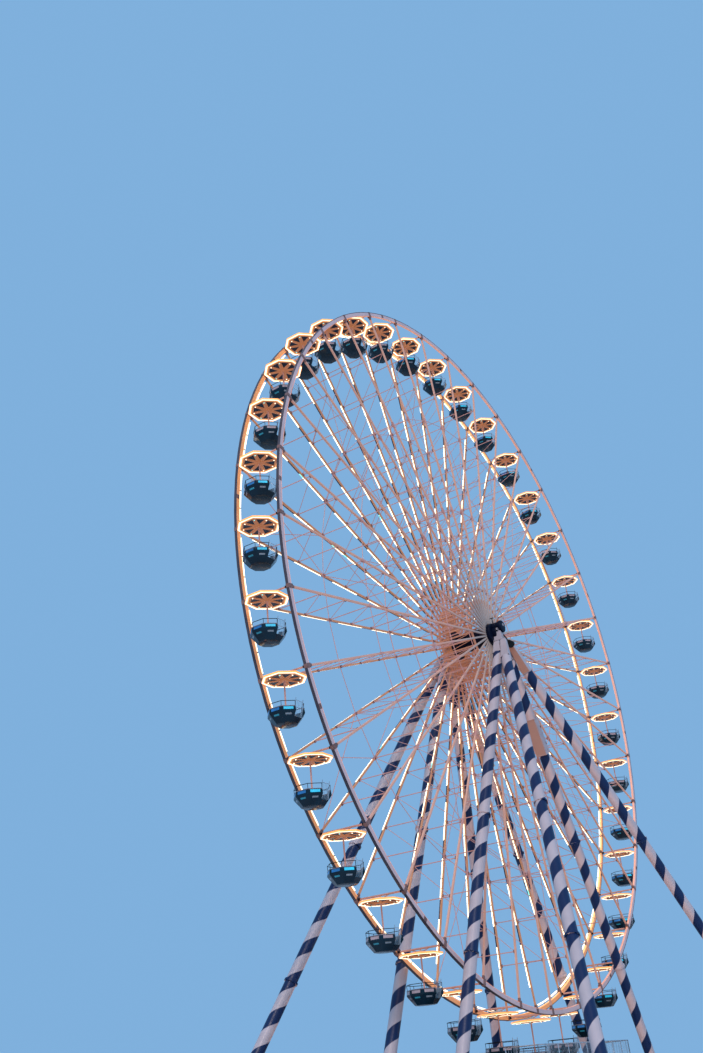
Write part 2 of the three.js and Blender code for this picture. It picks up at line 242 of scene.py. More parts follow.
def add_turned(shape, outline, axis, steps, finish=0, first_turn=0.0, sweep=FULL_TURN, strip=False):
    """Spins an outline of (distance from the axis, place along it) round the Y or the Z axis.

    The outline is closed, unless it is a strip or runs from the axis back to the axis."""
    spread = Z_AXIS if axis == Y_AXIS else X_AXIS
    closed = not strip and (outline[0][0] > 0 or outline[-1][0] > 0)
    points = [shape.verts.new(spread * distance + axis * place) for distance, place in outline]
    pairs = list(zip(points, points[1:])) + ([(points[-1], points[0])] if closed else [])
    edges = [shape.edges.new(pair) for pair in pairs]
    bmesh.ops.rotate(shape, verts=points, cent=ORIGIN, matrix=Matrix.Rotation(first_turn, 3, axis))
    full = sweep > FULL_TURN - 1e-6
    before = set(shape.faces)
    bmesh.ops.spin(shape, geom=points + edges, cent=ORIGIN, axis=axis, dvec=ORIGIN, angle=sweep,
                   steps=steps, use_merge=full, use_duplicate=False)
    if closed and not full:
        bmesh.ops.holes_fill(shape, edges=[edge for edge in shape.edges if edge.is_boundary], sides=0)
    turned = {vertex for face in shape.faces if face not in before for vertex in face.verts}
    bmesh.ops.remove_doubles(shape, verts=list(turned), dist=WELD_DISTANCE)
    faces = [face for face in shape.faces if face not in before]
    bmesh.ops.recalc_face_normals(shape, faces=faces)
    paint_faces(faces, finish)
    return faces


def box_outline(inner, outer, low_and_high, chamfer):
    """The eight corners of a box section whose edges are cut by a small chamfer."""
    low, high = sorted(low_and_high)
    return [
        (inner + chamfer, low), (outer - chamfer, low), (outer, low + chamfer), (outer, high - chamfer),
        (outer - chamfer, high), (inner + chamfer, high), (inner, high - chamfer), (inner, low + chamfer),
    ]


# %% Copies round the axle
def wheel_point(radius, angle, y):
    return Vector((radius * math.cos(angle), y, radius * math.sin(angle)))


def on_side(side, x, outward, rise):
    """A point beside an axle, given how far outward and how high above it the point lies."""
    return Vector((x, side * outward, rise))


def repeat_round(shape, count=len(cabin_names)):
    """Copies the whole shape round the axle, so that it stands there count times."""
    everything = shape.verts[:] + shape.edges[:] + shape.faces[:]
    bmesh.ops.spin(shape, geom=everything, cent=ORIGIN, axis=Y_AXIS, dvec=ORIGIN,
                   angle=FULL_TURN * (count - 1) / count, steps=count - 1, use_duplicate=True)


def join_shapes(shape, other):
    """Moves everything from the other shape into this one."""
    carrier = bpy.data.meshes.new("carrier")
    other.to_mesh(carrier)
    other.free()
    shape.from_mesh(carrier)
    bpy.data.meshes.remove(carrier)


# %% [markdown]
# A finished shape becomes a piece in one place only. The helper moves it to where it belongs and
# shrinks it to the model, smooths what is round while keeping real edges sharp, hangs it on its
# body, and hides the plain solid that it stands for.

# %% Turn a shape into a piece
CREASE_ANGLE = math.radians(32)
piece_faces = {}


def model_mesh(name, shape, place):
    mesh = bpy.data.meshes.new(name)
    shape.to_mesh(mesh)
    mesh.transform(Matrix.Scale(MODEL_SCALE, 4) @ Matrix.Translation(place))
    return mesh


def hang_piece(name, mesh, finishes, body, slot, *replaced):
    for finish in finishes:
        mesh.materials.append(finish)
    mesh.polygons.foreach_set("use_smooth", [True] * len(mesh.polygons))
    mesh.set_sharp_from_angle(angle=CREASE_ANGLE)
    piece = bpy.data.objects.new(name, mesh)
    bpy.context.scene.collection.objects.link(piece)
    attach(piece, body)
    if replaced:
        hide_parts(*replaced)
    piece_faces[name] = len(mesh.polygons)


def make_piece(name, shape, finishes, body, slot, *replaced, place=HUB):
    hang_piece(name, model_mesh(name, shape, place), finishes, body, slot, *replaced)
    shape.free()


def on_both_sides(*makers):
    """Calls each maker for the near side and for the far one."""
    for side_name, side in SIDES.items():
        for make in makers:
            make(side_name, side)


print("shape helpers ready")

# %% [markdown]
# ## Paint
# Fairground steel wears thick semi-gloss paint. Seen close it is never one colour: rain leaves paler
# and darker clouds, dust dulls the gloss, and the film itself ripples slightly. One recipe makes
# every paint here: two noises, a large one for the clouds and a fine one for gloss and ripple.

# %% Colour and noise helpers
BLACK = (0.0, 0.0, 0.0)


def cloud_noise(tree, coordinates, scale, detail=4.0):
    noise = node(tree, "ShaderNodeTexNoise")
    noise.inputs["Scale"].default_value = scale
    noise.inputs["Detail"].default_value = detail
    tree.links.new(coordinates, noise.inputs["Vector"])
    return noise.outputs["Fac"]


def blend(tree, share, first, second):
    """Mixes two colours, each of which is either written out or comes from another node."""
    mix = node(tree, "ShaderNodeMix", data_type="RGBA")
    tree.links.new(share, mix.inputs["Factor"])
    for socket, colour in ((mix.inputs["A"], first), (mix.inputs["B"], second)):
        if isinstance(colour, tuple):
            socket.default_value = opaque(colour)
        else:
            tree.links.new(colour, socket)
    return mix.outputs["Result"]


def stretch(tree, value, low, high, to_low=0.0, to_high=1.0):
    stretched = node(tree, "ShaderNodeMapRange")
    for label, number in (("From Min", low), ("From Max", high), ("To Min", to_low), ("To Max", to_high)):
        stretched.inputs[label].default_value = number
    tree.links.new(value, stretched.inputs["Value"])
    return stretched.outputs["Result"]


def ripple(tree, shader, height, distance):
    bump = node(tree, "ShaderNodeBump")
    bump.inputs["Distance"].default_value = distance
    bump.inputs["Strength"].default_value = 0.35
    tree.links.new(height, bump.inputs["Height"])
    tree.links.new(bump.outputs["Normal"], shader.inputs["Normal"])


def object_place(tree):
    return node(tree, "ShaderNodeTexCoord").outputs["Object"]


def shade_of(tree, colour, share):
    """A darker shade of a colour, which is either written out or comes from another node."""
    if isinstance(colour, tuple):
        return tuple(value * share for value in colour)
    shaded = node(tree, "ShaderNodeHueSaturation")
    shaded.inputs["Value"].default_value = share
    tree.links.new(colour, shaded.inputs["Color"])
    return shaded.outputs["Color"]


# %% The paint recipe
def weathered(tree, shader, colour, worn, gloss=(0.34, 0.55), cloud=1.6):
    """Clouds of a darker shade over a colour, with gloss and ripple from a finer noise."""
    place = object_place(tree)
    clouds = stretch(tree, cloud_noise(tree, place, cloud), 0.35, 0.7)
    darker = shade_of(tree, colour, worn)
    tree.links.new(blend(tree, clouds, colour, darker), shader.inputs["Base Color"])
    fine = cloud_noise(tree, place, 22.0, 6.0)
    tree.links.new(stretch(tree, fine, 0.3, 0.7, *gloss), shader.inputs["Roughness"])
    ripple(tree, shader, fine, 0.002)


def glow_with(tree, shader, colour):
    """Lets a surface glow in a colour that comes from another node."""
    tree.links.new(colour, shader.inputs["Emission Color"])
    shader.inputs["Emission Strength"].default_value = 1.0


def steel_paint(name, colour, worn=0.6, gloss=(0.34, 0.55), metal=0.0, cloud=1.6, shine=0.5, lit=None):
    """A weathered paint or metal; lit is the lamps' light that lies on it."""
    material, tree, shader = new_material(name)
    weathered(tree, shader, colour, worn, gloss, cloud)
    shader.inputs["Metallic"].default_value = metal
    shader.inputs["Specular IOR Level"].default_value = shine
    if lit:
        shader.inputs["Emission Color"].default_value = opaque(lit)
        shader.inputs["Emission Strength"].default_value = 1.0
    return material


# %% Plain paints and metals
rim_paints = {
    "near": steel_paint("near_rim_lilac_paint", (0.54, 0.45, 0.48), 0.85, lit=(0.11, 0.055, 0.045)),
    "far": steel_paint("far_rim_orange_paint", (0.74, 0.36, 0.17), 0.8, lit=(0.34, 0.12, 0.03)),
}
liner_paints = {
    "near": steel_paint("near_liner_paint", (0.86, 0.44, 0.32), 0.85, lit=(0.38, 0.14, 0.07)),
    "far": steel_paint("far_liner_paint", (0.88, 0.45, 0.20), 0.85, lit=(0.78, 0.38, 0.12)),
}
# Near black: a painted shadow line on the rims' outer edge, and dark seams on the heads' plate rings
shadow_strip_and_seam_paint = steel_paint("shadow_strip_and_seam_paint", (0.08, 0.06, 0.075))
joint_paint = steel_paint("joint_plate_paint", (0.24, 0.13, 0.12), lit=(0.03, 0.01, 0.004))
web_paint = steel_paint("web_paint", (0.50, 0.29, 0.26), 0.8, lit=(0.16, 0.052, 0.035))
navy_paint = steel_paint("navy_paint", (0.003, 0.007, 0.026), gloss=(0.3, 0.5), shine=0.1)
white_paint = steel_paint("white_paint", (0.50, 0.43, 0.46), 0.88, (0.35, 0.55))
black_paint = steel_paint("black_paint", (0.010, 0.009, 0.010), gloss=(0.4, 0.6), shine=0.12)
bolt_steel = steel_paint("bolt_steel", (0.32, 0.30, 0.29), gloss=(0.3, 0.5), metal=0.9, cloud=9.0)
rail_steel = steel_paint("rail_steel", (0.60, 0.62, 0.66), 0.75, (0.2, 0.4), metal=0.85, cloud=6.0)
ground_paint = steel_paint("ground_steel_paint", (0.20, 0.21, 0.23), gloss=(0.5, 0.75))
print(len(bpy.data.materials), "materials so far")

# %% [markdown]
# ## Paint that changes with place
# The spokes leave the hub almost white and turn a warm tan further out, where the lamps stand
# closer. Both the shade and the lamps' light on it follow the distance from the axle, which is the
# length of the place seen from the hub with the part along the axle left out. The undersides of the
# legs and of some arms get the lamps' warm light painted on too, and those arms a painted shade.
# Real light from a thousand small lamps would need very many samples, so the paint itself carries
# it as a weak glow.

# %% Paint by distance from the axle
FADE_START, FADE_END = 2.0, 8.0


def axle_distance(tree):
    """Distance from the wheel's axle, in the model's metres."""
    centred = node(tree, "ShaderNodeMapping", vector_type="POINT")
    centred.inputs["Location"].default_value = (0, 0, -HUB.z * MODEL_SCALE)
    centred.inputs["Scale"].default_value = (1, 0, 1)
    tree.links.new(object_place(tree), centred.inputs["Vector"])
    length = node(tree, "ShaderNodeVectorMath", operation="LENGTH")
    tree.links.new(centred.outputs["Vector"], length.inputs[0])
    return length.outputs["Value"]


def spoke_paint(name, hub_colour, rim_colour, hub_lit, rim_lit):
    material, tree, shader = new_material(name)
    outward = stretch(tree, axle_distance(tree), FADE_START * MODEL_SCALE, FADE_END * MODEL_SCALE)
    weathered(tree, shader, blend(tree, outward, hub_colour, rim_colour), 0.85)
    glow_with(tree, shader, blend(tree, outward, hub_lit, rim_lit))
    return material


spoke_paints = {
    "near": spoke_paint("near_spoke_paint", (0.49, 0.41, 0.37), (0.58, 0.36, 0.28), (0.03, 0.015, 0.01),
                        (0.19, 0.062, 0.026)),
    "far": spoke_paint("far_spoke_paint", (0.58, 0.30, 0.17), (0.55, 0.28, 0.15), (0.19, 0.06, 0.015),
                       (0.18, 0.055, 0.012)),
}
print("spoke paints ready")


# %% Paint with painted shade and lamp light on its undersides
def downward_share(tree):
    """One on faces that look down, nought on upright ones, smooth between."""
    parts = node(tree, "ShaderNodeSeparateXYZ")
    tree.links.new(node(tree, "ShaderNodeNewGeometry").outputs["Normal"], parts.inputs["Vector"])
    return stretch(tree, parts.outputs["Z"], -0.12, -0.45)


def lit_from_below(material, shaded, glow):
    """Undersides get a painted shade, darker and browner, and the lamps' warm light as a painted glow."""
    tree = material.node_tree
    shader = tree.nodes["Principled BSDF"]
    share = downward_share(tree)
    paint = shader.inputs["Base Color"].links[0].from_socket
    tree.links.new(blend(tree, share, paint, shaded), shader.inputs["Base Color"])
    glow_with(tree, shader, blend(tree, share, BLACK, glow))


# The white paint again, with a painted shade and the lamps' light painted on its undersides
underside_lit_white_paint = steel_paint("white_paint_with_painted_underside_light", (0.50, 0.43, 0.46), 0.88, (0.35, 0.55))
lit_from_below(underside_lit_white_paint, (0.32, 0.20, 0.16), (0.15, 0.055, 0.032))

# %% [markdown]
# ## Lamps
# The ride wears tubes of warm white light. A lamp could be a real light source, but hundreds of
# them would drown the picture in noise, so the tube's surface glows instead. Its brightness varies
# slightly along its length, as old tubes do, and its glass keeps a gloss of its own.

# %% Glowing tubes in their tints, one that is out, and the edge tube's light painted as a glow
def lamp_glass(name, colour, strength, variation=0.25):
    material, tree, shader = new_material(name)
    flicker = cloud_noise(tree, object_place(tree), 3.0)
    duller = shade_of(tree, colour, 1 - variation)
    tint = blend(tree, stretch(tree, flicker, 0.3, 0.7), colour, duller)
    tree.links.new(tint, shader.inputs["Base Color"])
    glow_with(tree, shader, tint)
    shader.inputs["Emission Strength"].default_value = strength
    shader.inputs["Roughness"].default_value = 0.25
    return material


spoke_lamp = lamp_glass("spoke_lamp", (1.0, 0.82, 0.54), 3.2)
warm_lamp = lamp_glass("warm_lamp", (1.0, 0.84, 0.6), 2.2)
# No lamp: the edge tube's orange light on the canopy's lip and ceiling band, painted as a glow
painted_tube_light = lamp_glass("painted_orange_tube_light", (1.0, 0.40, 0.11), 1.1)
cool_lamp = lamp_glass("cool_lamp", (0.25, 0.95, 0.85), 1.2)
dark_lamp = steel_paint("dark_lamp", (0.02, 0.025, 0.06), gloss=(0.15, 0.3))
LAMP_FINISHES = [spoke_lamp, cool_lamp, dark_lamp, black_paint]
LIT, COOL, UNLIT, CLIP = range(4)
print("lamps ready")

# %% [markdown]
# ## Rims
# Each rim is a box girder rolled to a circle. It is turned here from one chamfered section, spun in
# enough steps to look round. The outer edge carries a thin near-black strip, a painted shadow line
# along that edge, and the inner face is painted like the spokes, so the ring is made of three turned
# parts in one piece.

# %% Two rims
RIM_OFFSET = 1.4
RIM_HALF_WIDTH = 0.072
RIM_STEPS = 144
# Inner and outer radius, half width and chamfer of the girder, the strip of painted shadow on the
# outer edge, and the inner face
RIM_PARTS = ((22.97, 23.215, RIM_HALF_WIDTH, 0.02), (23.216, 23.236, 0.084, 0.006),
             (22.955, 22.969, RIM_HALF_WIDTH, 0.004))


def make_rim(side_name, side):
    shape = bmesh.new()
    for finish, (inner, outer, half, chamfer) in enumerate(RIM_PARTS):
        section = box_outline(inner, outer, around(side * RIM_OFFSET, half), chamfer)
        add_turned(shape, section, Y_AXIS, RIM_STEPS, finish)
    finishes = [rim_paints[side_name], shadow_strip_and_seam_paint, liner_paints[side_name]]
    make_piece(f"{side_name}_rim", shape, finishes, "wheel", "rim_paint")


on_both_sides(make_rim)
print("rims:", piece_faces["near_rim"], "faces each")

# %% [markdown]
# Where a spoke meets the rim the girder is bolted together: a small dark cheek plate on each face
# with four bolts, a saddle plate over the outer edge, and a bracket under it that takes the spoke.
# One joint is modelled at the first spoke and copied round the axle, with a splice plate halfway
# along every third bay.

# %% Rim joints
PLATE_THICKNESS = 0.018
CHEEK_ENDS, SADDLE_ENDS = (22.86, 23.2), (23.226, 23.247)
BRACKET_ENDS, SPLICE_ENDS = (22.72, 22.96), (22.985, 23.2)
# Half lengths round the rim, and half widths along the axle
CHEEK_HALF, SADDLE_HALF, BRACKET_HALF, SPLICE_HALF = 0.12, 0.1, 0.07, 0.13
SADDLE_HALF_WIDTH, BRACKET_HALF_WIDTH, SPLICE_HALF_WIDTH = 0.092, 0.06, 0.084
CHEEK_BOLT_RADII, CHEEK_BOLTS_ACROSS = (22.92, 23.14), (-0.08, 0.08)
SPLICE_BOLT_RADIUS, SPLICE_BOLTS_ACROSS = 23.09, (-0.09, -0.03, 0.03, 0.09)


def add_bolt(shape, foot, direction, finish=1, radius=0.016, height=0.02):
    add_tube(shape, foot, foot + direction * height, radius, 6, finish)


def make_joints(side_name, side):
    shape = bmesh.new()
    middle = side * RIM_OFFSET
    for face in (-1, 1):
        inside = middle + face * RIM_HALF_WIDTH
        outside = inside + face * PLATE_THICKNESS
        add_box(shape, CHEEK_ENDS, (inside, outside), around(0, CHEEK_HALF), 0, 0.005)
        for distance in CHEEK_BOLT_RADII:
            for across in CHEEK_BOLTS_ACROSS:
                add_bolt(shape, Vector((distance, outside, across)), Y_AXIS * face)
    add_box(shape, SADDLE_ENDS, around(middle, SADDLE_HALF_WIDTH), around(0, SADDLE_HALF), 0, 0.003)
    add_box(shape, BRACKET_ENDS, around(middle, BRACKET_HALF_WIDTH), around(0, BRACKET_HALF), 0, 0.008)
    repeat_round(shape)
    make_piece(f"{side_name}_rim_joints", shape, [joint_paint, bolt_steel], "wheel", "rim_paint")


def make_splices(side_name, side):
    shape = bmesh.new()
    faces = around(side * RIM_OFFSET, SPLICE_HALF_WIDTH)
    add_box(shape, SPLICE_ENDS, faces, around(0, SPLICE_HALF), 0, 0.005)
    for across in SPLICE_BOLTS_ACROSS:
        for direction, place in zip((-1, 1), faces):
            add_bolt(shape, Vector((SPLICE_BOLT_RADIUS, place, across)), Y_AXIS * direction)
    bmesh.ops.rotate(shape, verts=shape.verts, cent=ORIGIN, matrix=Matrix.Rotation(BAY / 2, 3, "Y"))
    repeat_round(shape, len(cabin_names) // 3)
    make_piece(f"{side_name}_rim_splices", shape, [joint_paint, bolt_steel], "wheel", "rim_paint")


on_both_sides(make_joints, make_splices)
print("rim joints:", piece_faces["near_rim_joints"], "faces each side")

# %% [markdown]
# ## Spokes
# A spoke is a square steel tube in lengths that are bolted end to end. It leans outward a little
# from the hub flange to the rim. The chamfer along its edges is what catches the light, so it is cut
# into the bar before the bar is copied round.

# %% Spokes with their bolted splices
FLANGE_OFFSET = 1.31
SPOKE_ROOT, SPOKE_TIP = 0.75, 22.9
SPOKE_WIDTHS = {"near": 0.11, "far": 0.1}
SPOKE_SPLICES = (6.2, 8.9, 15.5)
SPLICE_HALF_LENGTH, SPLICE_WALL = 0.2, 0.012
SPLICE_BOLTS_ALONG = (-0.14, -0.05, 0.05, 0.14)


def spoke_plane(radius):
    """How far a spoke's centre line stands out along the axle at this distance from the hub."""
    return FLANGE_OFFSET + (RIM_OFFSET - FLANGE_OFFSET) * radius / WHEEL_RADIUS


def make_spokes(side_name, side):
    shape = bmesh.new()
    width = SPOKE_WIDTHS[side_name]
    root, tip = (wheel_point(radius, 0, side * spoke_plane(radius)) for radius in (SPOKE_ROOT, SPOKE_TIP))
    add_bar(shape, root, tip, width, width, Y_AXIS, 0, 0.01)
    half = width / 2 + SPLICE_WALL
    for radius in SPOKE_SPLICES:
        middle = side * spoke_plane(radius)
        add_box(shape, around(radius, SPLICE_HALF_LENGTH), around(middle, half), around(0, half), 1, 0.006)
        for along in SPLICE_BOLTS_ALONG:
            for face in (-1, 1):
                foot = Vector((radius + along, middle, face * half))
                add_bolt(shape, foot, Z_AXIS * face, 2, 0.013, 0.014)
    repeat_round(shape)
    finishes = [spoke_paints[side_name], web_paint, bolt_steel]
    make_piece(f"{side_name}_spokes", shape, finishes, "wheel", "lattice_paint", f"wheel_{side_name}_side")


on_both_sides(make_spokes)
print("spokes:", piece_faces["near_spokes"], "faces each side")

# %% [markdown]
# ## Webs between the two sides
# Each spoke is one half of a radial frame: thin tubes cross to the spoke on the other side, and
# one diagonal rises in each bay between them, as in a ladder truss. The outermost crossbar stops
# short of the cabins' bowls, which hang 2.6 m below their axles and sweep past it in each turn.

# %% Crossbars and diagonals of one radial frame, copied round
CROSSBAR_RADII = (3.3, 5.2, 7.1, 8.9, 11.1, 13.3, 15.5, 17.9, 20.3)
CROSSBAR_RADIUS, DIAGONAL_RADIUS = 0.027, 0.018
SHOE_HALF, SHOE_THICKNESS = 0.09, 0.03


def make_webs():
    shape = bmesh.new()
    half_spoke = SPOKE_WIDTHS["near"] / 2

    def web_point(radius, side):
        return wheel_point(radius, 0, side * (spoke_plane(radius) - half_spoke))

    for radius in CROSSBAR_RADII:
        add_tube(shape, web_point(radius, -1), web_point(radius, 1), CROSSBAR_RADIUS, 6)
        for side in (-1, 1):
            foot = side * (spoke_plane(radius) - half_spoke - 0.012)
            add_box(shape, around(radius, SHOE_HALF), (foot, foot - side * SHOE_THICKNESS),
                    around(0, half_spoke + 0.015), 1)
    for inner, outer in zip(CROSSBAR_RADII, CROSSBAR_RADII[1:]):
        add_tube(shape, web_point(inner, 1), web_point(outer, -1), DIAGONAL_RADIUS, 5)
    repeat_round(shape)
    make_piece("radial_webs", shape, [web_paint, joint_paint], "wheel", "lattice_paint")


make_webs()
print("webs:", piece_faces["radial_webs"], "faces")

# %% [markdown]
# ## Ties round the wheel
# Hoops of short tubes tie neighbouring spokes near the hub and further out, and thin crossed rods
# brace every fourth bay, so that the rim can't twist against the hub. A hoop could be one turned
# ring, but the real one is a many-sided polygon of straight tubes with their ends on the spokes,
# and that is what is built.

# %% Hoops of one bay and crossed rods of every fourth bay, copied round
TIE_TUBES = {3.3: 0.026, 6.2: 0.026, 8.9: 0.026, 15.5: 0.02}
TIE_SIDES = {3.3: 6, 6.2: 6, 8.9: 6, 15.5: 5}
ROD_RADIUS, ROD_LIFT = 0.02, 0.02
ROD_SPANS = {"near": ((8.9, 15.5),), "far": ((8.9, 15.5), (15.5, 22.6))}
ROD_BAYS = 9


def make_ties(side_name, side):
    shape, hoops = bmesh.new(), bmesh.new()

    def bay_point(radius, spoke, lift=0.0):
        return wheel_point(radius, spoke * BAY, side * (spoke_plane(radius) + lift))

    for inner, outer in ROD_SPANS[side_name]:
        for first, last, lift in ((1, 2, ROD_LIFT), (2, 1, -ROD_LIFT)):
            add_tube(shape, bay_point(inner, first, lift), bay_point(outer, last, lift), ROD_RADIUS, 5)
    repeat_round(shape, ROD_BAYS)
    for radius, thickness in TIE_TUBES.items():
        add_tube(hoops, bay_point(radius, 0), bay_point(radius, 1), thickness, TIE_SIDES[radius])
    repeat_round(hoops)
    join_shapes(shape, hoops)
    make_piece(f"{side_name}_ties", shape, [web_paint], "wheel", "lattice_paint")


on_both_sides(make_ties)
print("ties:", piece_faces["near_ties"], "faces each side")

# %% [markdown]
# ## Light tubes on the far side
# Every far spoke carries a row of tubes on its outer face, in a steady rhythm of two lit ones and a
# dark one from the rim inward. A few lit ones begin with a short blue-green lamp, where a part was
# changed; which ones is drawn from a seeded series, the same in each run. The far rim has a row of
# its own, which stands off the girder's inner face on thin brackets.

# %% Tubes along the far spokes
TUBE_RADIUS = 0.046
TUBE_START, TUBE_END = 21.7, 3.2
LIT_LENGTH, DARK_LENGTH = 1.26, 1.12
TUBE_GAP = 0.07
COOL_END, COOL_SHARE = 0.35, 0.07
lamp_draw = random.Random(31)


def add_spoke_lamp(shape, angle, outer, length, finish):
    """One tube on a far spoke, from the radius outer inward, with a dark clip at its inner end."""
    stand_off = SPOKE_WIDTHS["far"] / 2 + TUBE_RADIUS - 0.006
    inner = outer - length
    first, last, clip_end = (wheel_point(radius, angle, spoke_plane(radius) + stand_off)
                             for radius in (outer, inner, inner - TUBE_GAP))
    add_tube(shape, first, last, TUBE_RADIUS, 8, finish)
    add_tube(shape, last, clip_end, TUBE_RADIUS * 0.6, 6, CLIP)


def make_spoke_tubes():
    shape = bmesh.new()
    for spoke in range(len(cabin_names)):
        outer, turn = TUBE_START, 0
        while outer - DARK_LENGTH > TUBE_END:
            lit = turn % 3 < 2
            length = LIT_LENGTH if lit else DARK_LENGTH
            if lit and lamp_draw.random() < COOL_SHARE:
                add_spoke_lamp(shape, spoke * BAY, outer, COOL_END, COOL)
                outer, length = outer - COOL_END, length - COOL_END
            add_spoke_lamp(shape, spoke * BAY, outer, length - TUBE_GAP, LIT if lit else UNLIT)
            outer, turn = outer - length, turn + 1
    make_piece("far_spoke_lamps", shape, LAMP_FINISHES, "wheel", "light_tube")


make_spoke_tubes()
print("spoke lamps:", piece_faces["far_spoke_lamps"], "faces")

# %% Tubes round the far rim, three in each bay
RIM_TUBES_PER_BAY = 3
RIM_TUBE_DISTANCE, RIM_BRACKET_FOOT = 22.8, 22.93
RIM_TUBE_PLANE = RIM_OFFSET + 0.03
RIM_TUBE_MARGIN, RIM_TUBE_GAP = 0.3 / RIM_TUBE_DISTANCE, 0.04 / RIM_TUBE_DISTANCE
RIM_CAP_LENGTH, RIM_BRACKET_RADIUS = 0.035, 0.014


def make_rim_tubes():
    shape = bmesh.new()
    span = (BAY - 2 * RIM_TUBE_MARGIN) / RIM_TUBES_PER_BAY
    for spoke in range(len(cabin_names)):
        for index in range(RIM_TUBES_PER_BAY):
            first = spoke * BAY + RIM_TUBE_MARGIN + index * span + RIM_TUBE_GAP
            angles = (first, first + span - 2 * RIM_TUBE_GAP)
            start, end = (wheel_point(RIM_TUBE_DISTANCE, angle, RIM_TUBE_PLANE) for angle in angles)
            add_tube(shape, start, end, TUBE_RADIUS, 8, LIT)
            for point, away in ((start, start - end), (end, end - start)):
                cap_end = point + away.normalized() * RIM_CAP_LENGTH
                add_tube(shape, point, cap_end, TUBE_RADIUS * 0.8, 6, CLIP)
            for angle in angles:
                add_tube(shape, wheel_point(RIM_TUBE_DISTANCE, angle, RIM_TUBE_PLANE),
                         wheel_point(RIM_BRACKET_FOOT, angle, RIM_TUBE_PLANE), RIM_BRACKET_RADIUS, 4, CLIP)
    finishes = [warm_lamp] + LAMP_FINISHES[1:]
    make_piece("far_rim_lamps", shape, finishes, "wheel", "light_tube")


make_rim_tubes()
print("rim lamps:", piece_faces["far_rim_lamps"], "faces")

# %% [markdown]
# ## Hub
# The spokes lie on the outer faces of two round flanges, under a navy boss, with a drum between them
# that carries the turning load. The drum is one turned outline with raised bands. A bolted clamp
# holds each spoke's root, and again one bay is made and copied round.

# %% Flanges with spoke clamps
DISC_RADIUS, BOSS_RADIUS, JOURNAL_RADIUS = 1.0, 0.72, 0.29
DISC_SETBACK, DISC_HALF_THICKNESS = 0.1, 0.05
BOSS_END, JOURNAL_END = 1.44, 1.74
CLAMP_ENDS, CLAMP_FACES, CLAMP_BOLT_RADII = (0.76, 0.98), (0.056, 0.075), (0.81, 0.93)


def make_flange(side_name, side):
    shape = bmesh.new()
    root = side * FLANGE_OFFSET
    inside, outside = (root + side * face for face in CLAMP_FACES)
    add_box(shape, CLAMP_ENDS, (inside, outside), around(0, 0.05), 2, 0.005)
    for distance in CLAMP_BOLT_RADII:
        add_bolt(shape, Vector((distance, outside, 0)), Y_AXIS * side, 1, 0.014, 0.014)
    repeat_round(shape)
    disc = around(side * (FLANGE_OFFSET - DISC_SETBACK), DISC_HALF_THICKNESS)
    add_turned(shape, box_outline(0.3, DISC_RADIUS, disc, 0.015), Y_AXIS, 72)
    add_turned(shape, box_outline(0.29, BOSS_RADIUS, (root, side * BOSS_END), 0.015), Y_AXIS, 48)
    add_turned(shape, box_outline(0.02, JOURNAL_RADIUS, (root, side * JOURNAL_END), 0.01), Y_AXIS, 32, 1)
    finishes = [navy_paint, bolt_steel, spoke_paints[side_name]]
    make_piece(f"{side_name}_hub_flange", shape, finishes, "wheel", "hub_paint")


on_both_sides(make_flange)

# %% Drum with raised bands
DRUM_RADIUS, BAND_RADIUS = 0.6, 0.66
DRUM_END = 1.2
BAND_PLACES = (-1.0, -0.35, 0.35, 1.0)
BAND_HALF = 0.07
BAND_BOLTS = 16


def make_drum():
    shape = bmesh.new()
    outline = [(0.0, -DRUM_END), (DRUM_RADIUS, -DRUM_END)]
    for place in BAND_PLACES:
        outline += [(DRUM_RADIUS, place - BAND_HALF), (BAND_RADIUS, place - BAND_HALF + 0.02),
                    (BAND_RADIUS, place + BAND_HALF - 0.02), (DRUM_RADIUS, place + BAND_HALF)]
    outline += [(DRUM_RADIUS, DRUM_END), (0.0, DRUM_END)]
    add_turned(shape, outline, Y_AXIS, 48)
    for place in BAND_PLACES:
        for index in range(BAND_BOLTS):
            angle = index * FULL_TURN / BAND_BOLTS
            foot = wheel_point(BAND_RADIUS - 0.004, angle, place)
            add_bolt(shape, foot, wheel_point(1, angle, 0), 1, 0.02, 0.02)
    make_piece("drum_shell", shape, [navy_paint, bolt_steel], "wheel", "hub_paint", "hub_drum")


make_drum()
print("hub flange:", piece_faces["near_hub_flange"], "faces, drum:", piece_faces["drum_shell"])

# %% [markdown]
# Inside the spokes a braced hoop stiffens the hub, and on the far side a ring of pierced gusset
# plates ties the spokes' roots. Rows of holes lighten each plate. They could be cut with a boolean,
# but an inset of every cell of a spun grid, with its corners bevelled, gives clean eight-sided holes.

# %% Brace hoops near the hub
BRACE_RADIUS, BRACE_PLANE = 2.5, 1.172
BRACE_HALF, BRACE_BAR_WIDTH, BRACE_TUBE_RADIUS = 0.06, 0.09, 0.022
brace_paint = steel_paint("brace_orange_paint", (0.56, 0.29, 0.19), 0.75, lit=(0.15, 0.046, 0.018))


def make_braces():
    shape = bmesh.new()
    near_end, far_end = (wheel_point(BRACE_RADIUS, 0, side * BRACE_PLANE) for side in (-1, 1))
    add_bar(shape, near_end, far_end, BRACE_BAR_WIDTH, BRACE_BAR_WIDTH, X_AXIS, 0, 0.01)
    add_tube(shape, near_end, wheel_point(BRACE_RADIUS, BAY, BRACE_PLANE), BRACE_TUBE_RADIUS, 5)
    repeat_round(shape)
    for side in (-1, 1):
        hoop = box_outline(*around(BRACE_RADIUS, BRACE_HALF), around(side * BRACE_PLANE, BRACE_HALF), 0.012)
        add_turned(shape, hoop, Y_AXIS, 72)
    make_piece("hub_brace_hoops", shape, [brace_paint], "wheel", "lattice_paint", "hub_brace_ring")


make_braces()

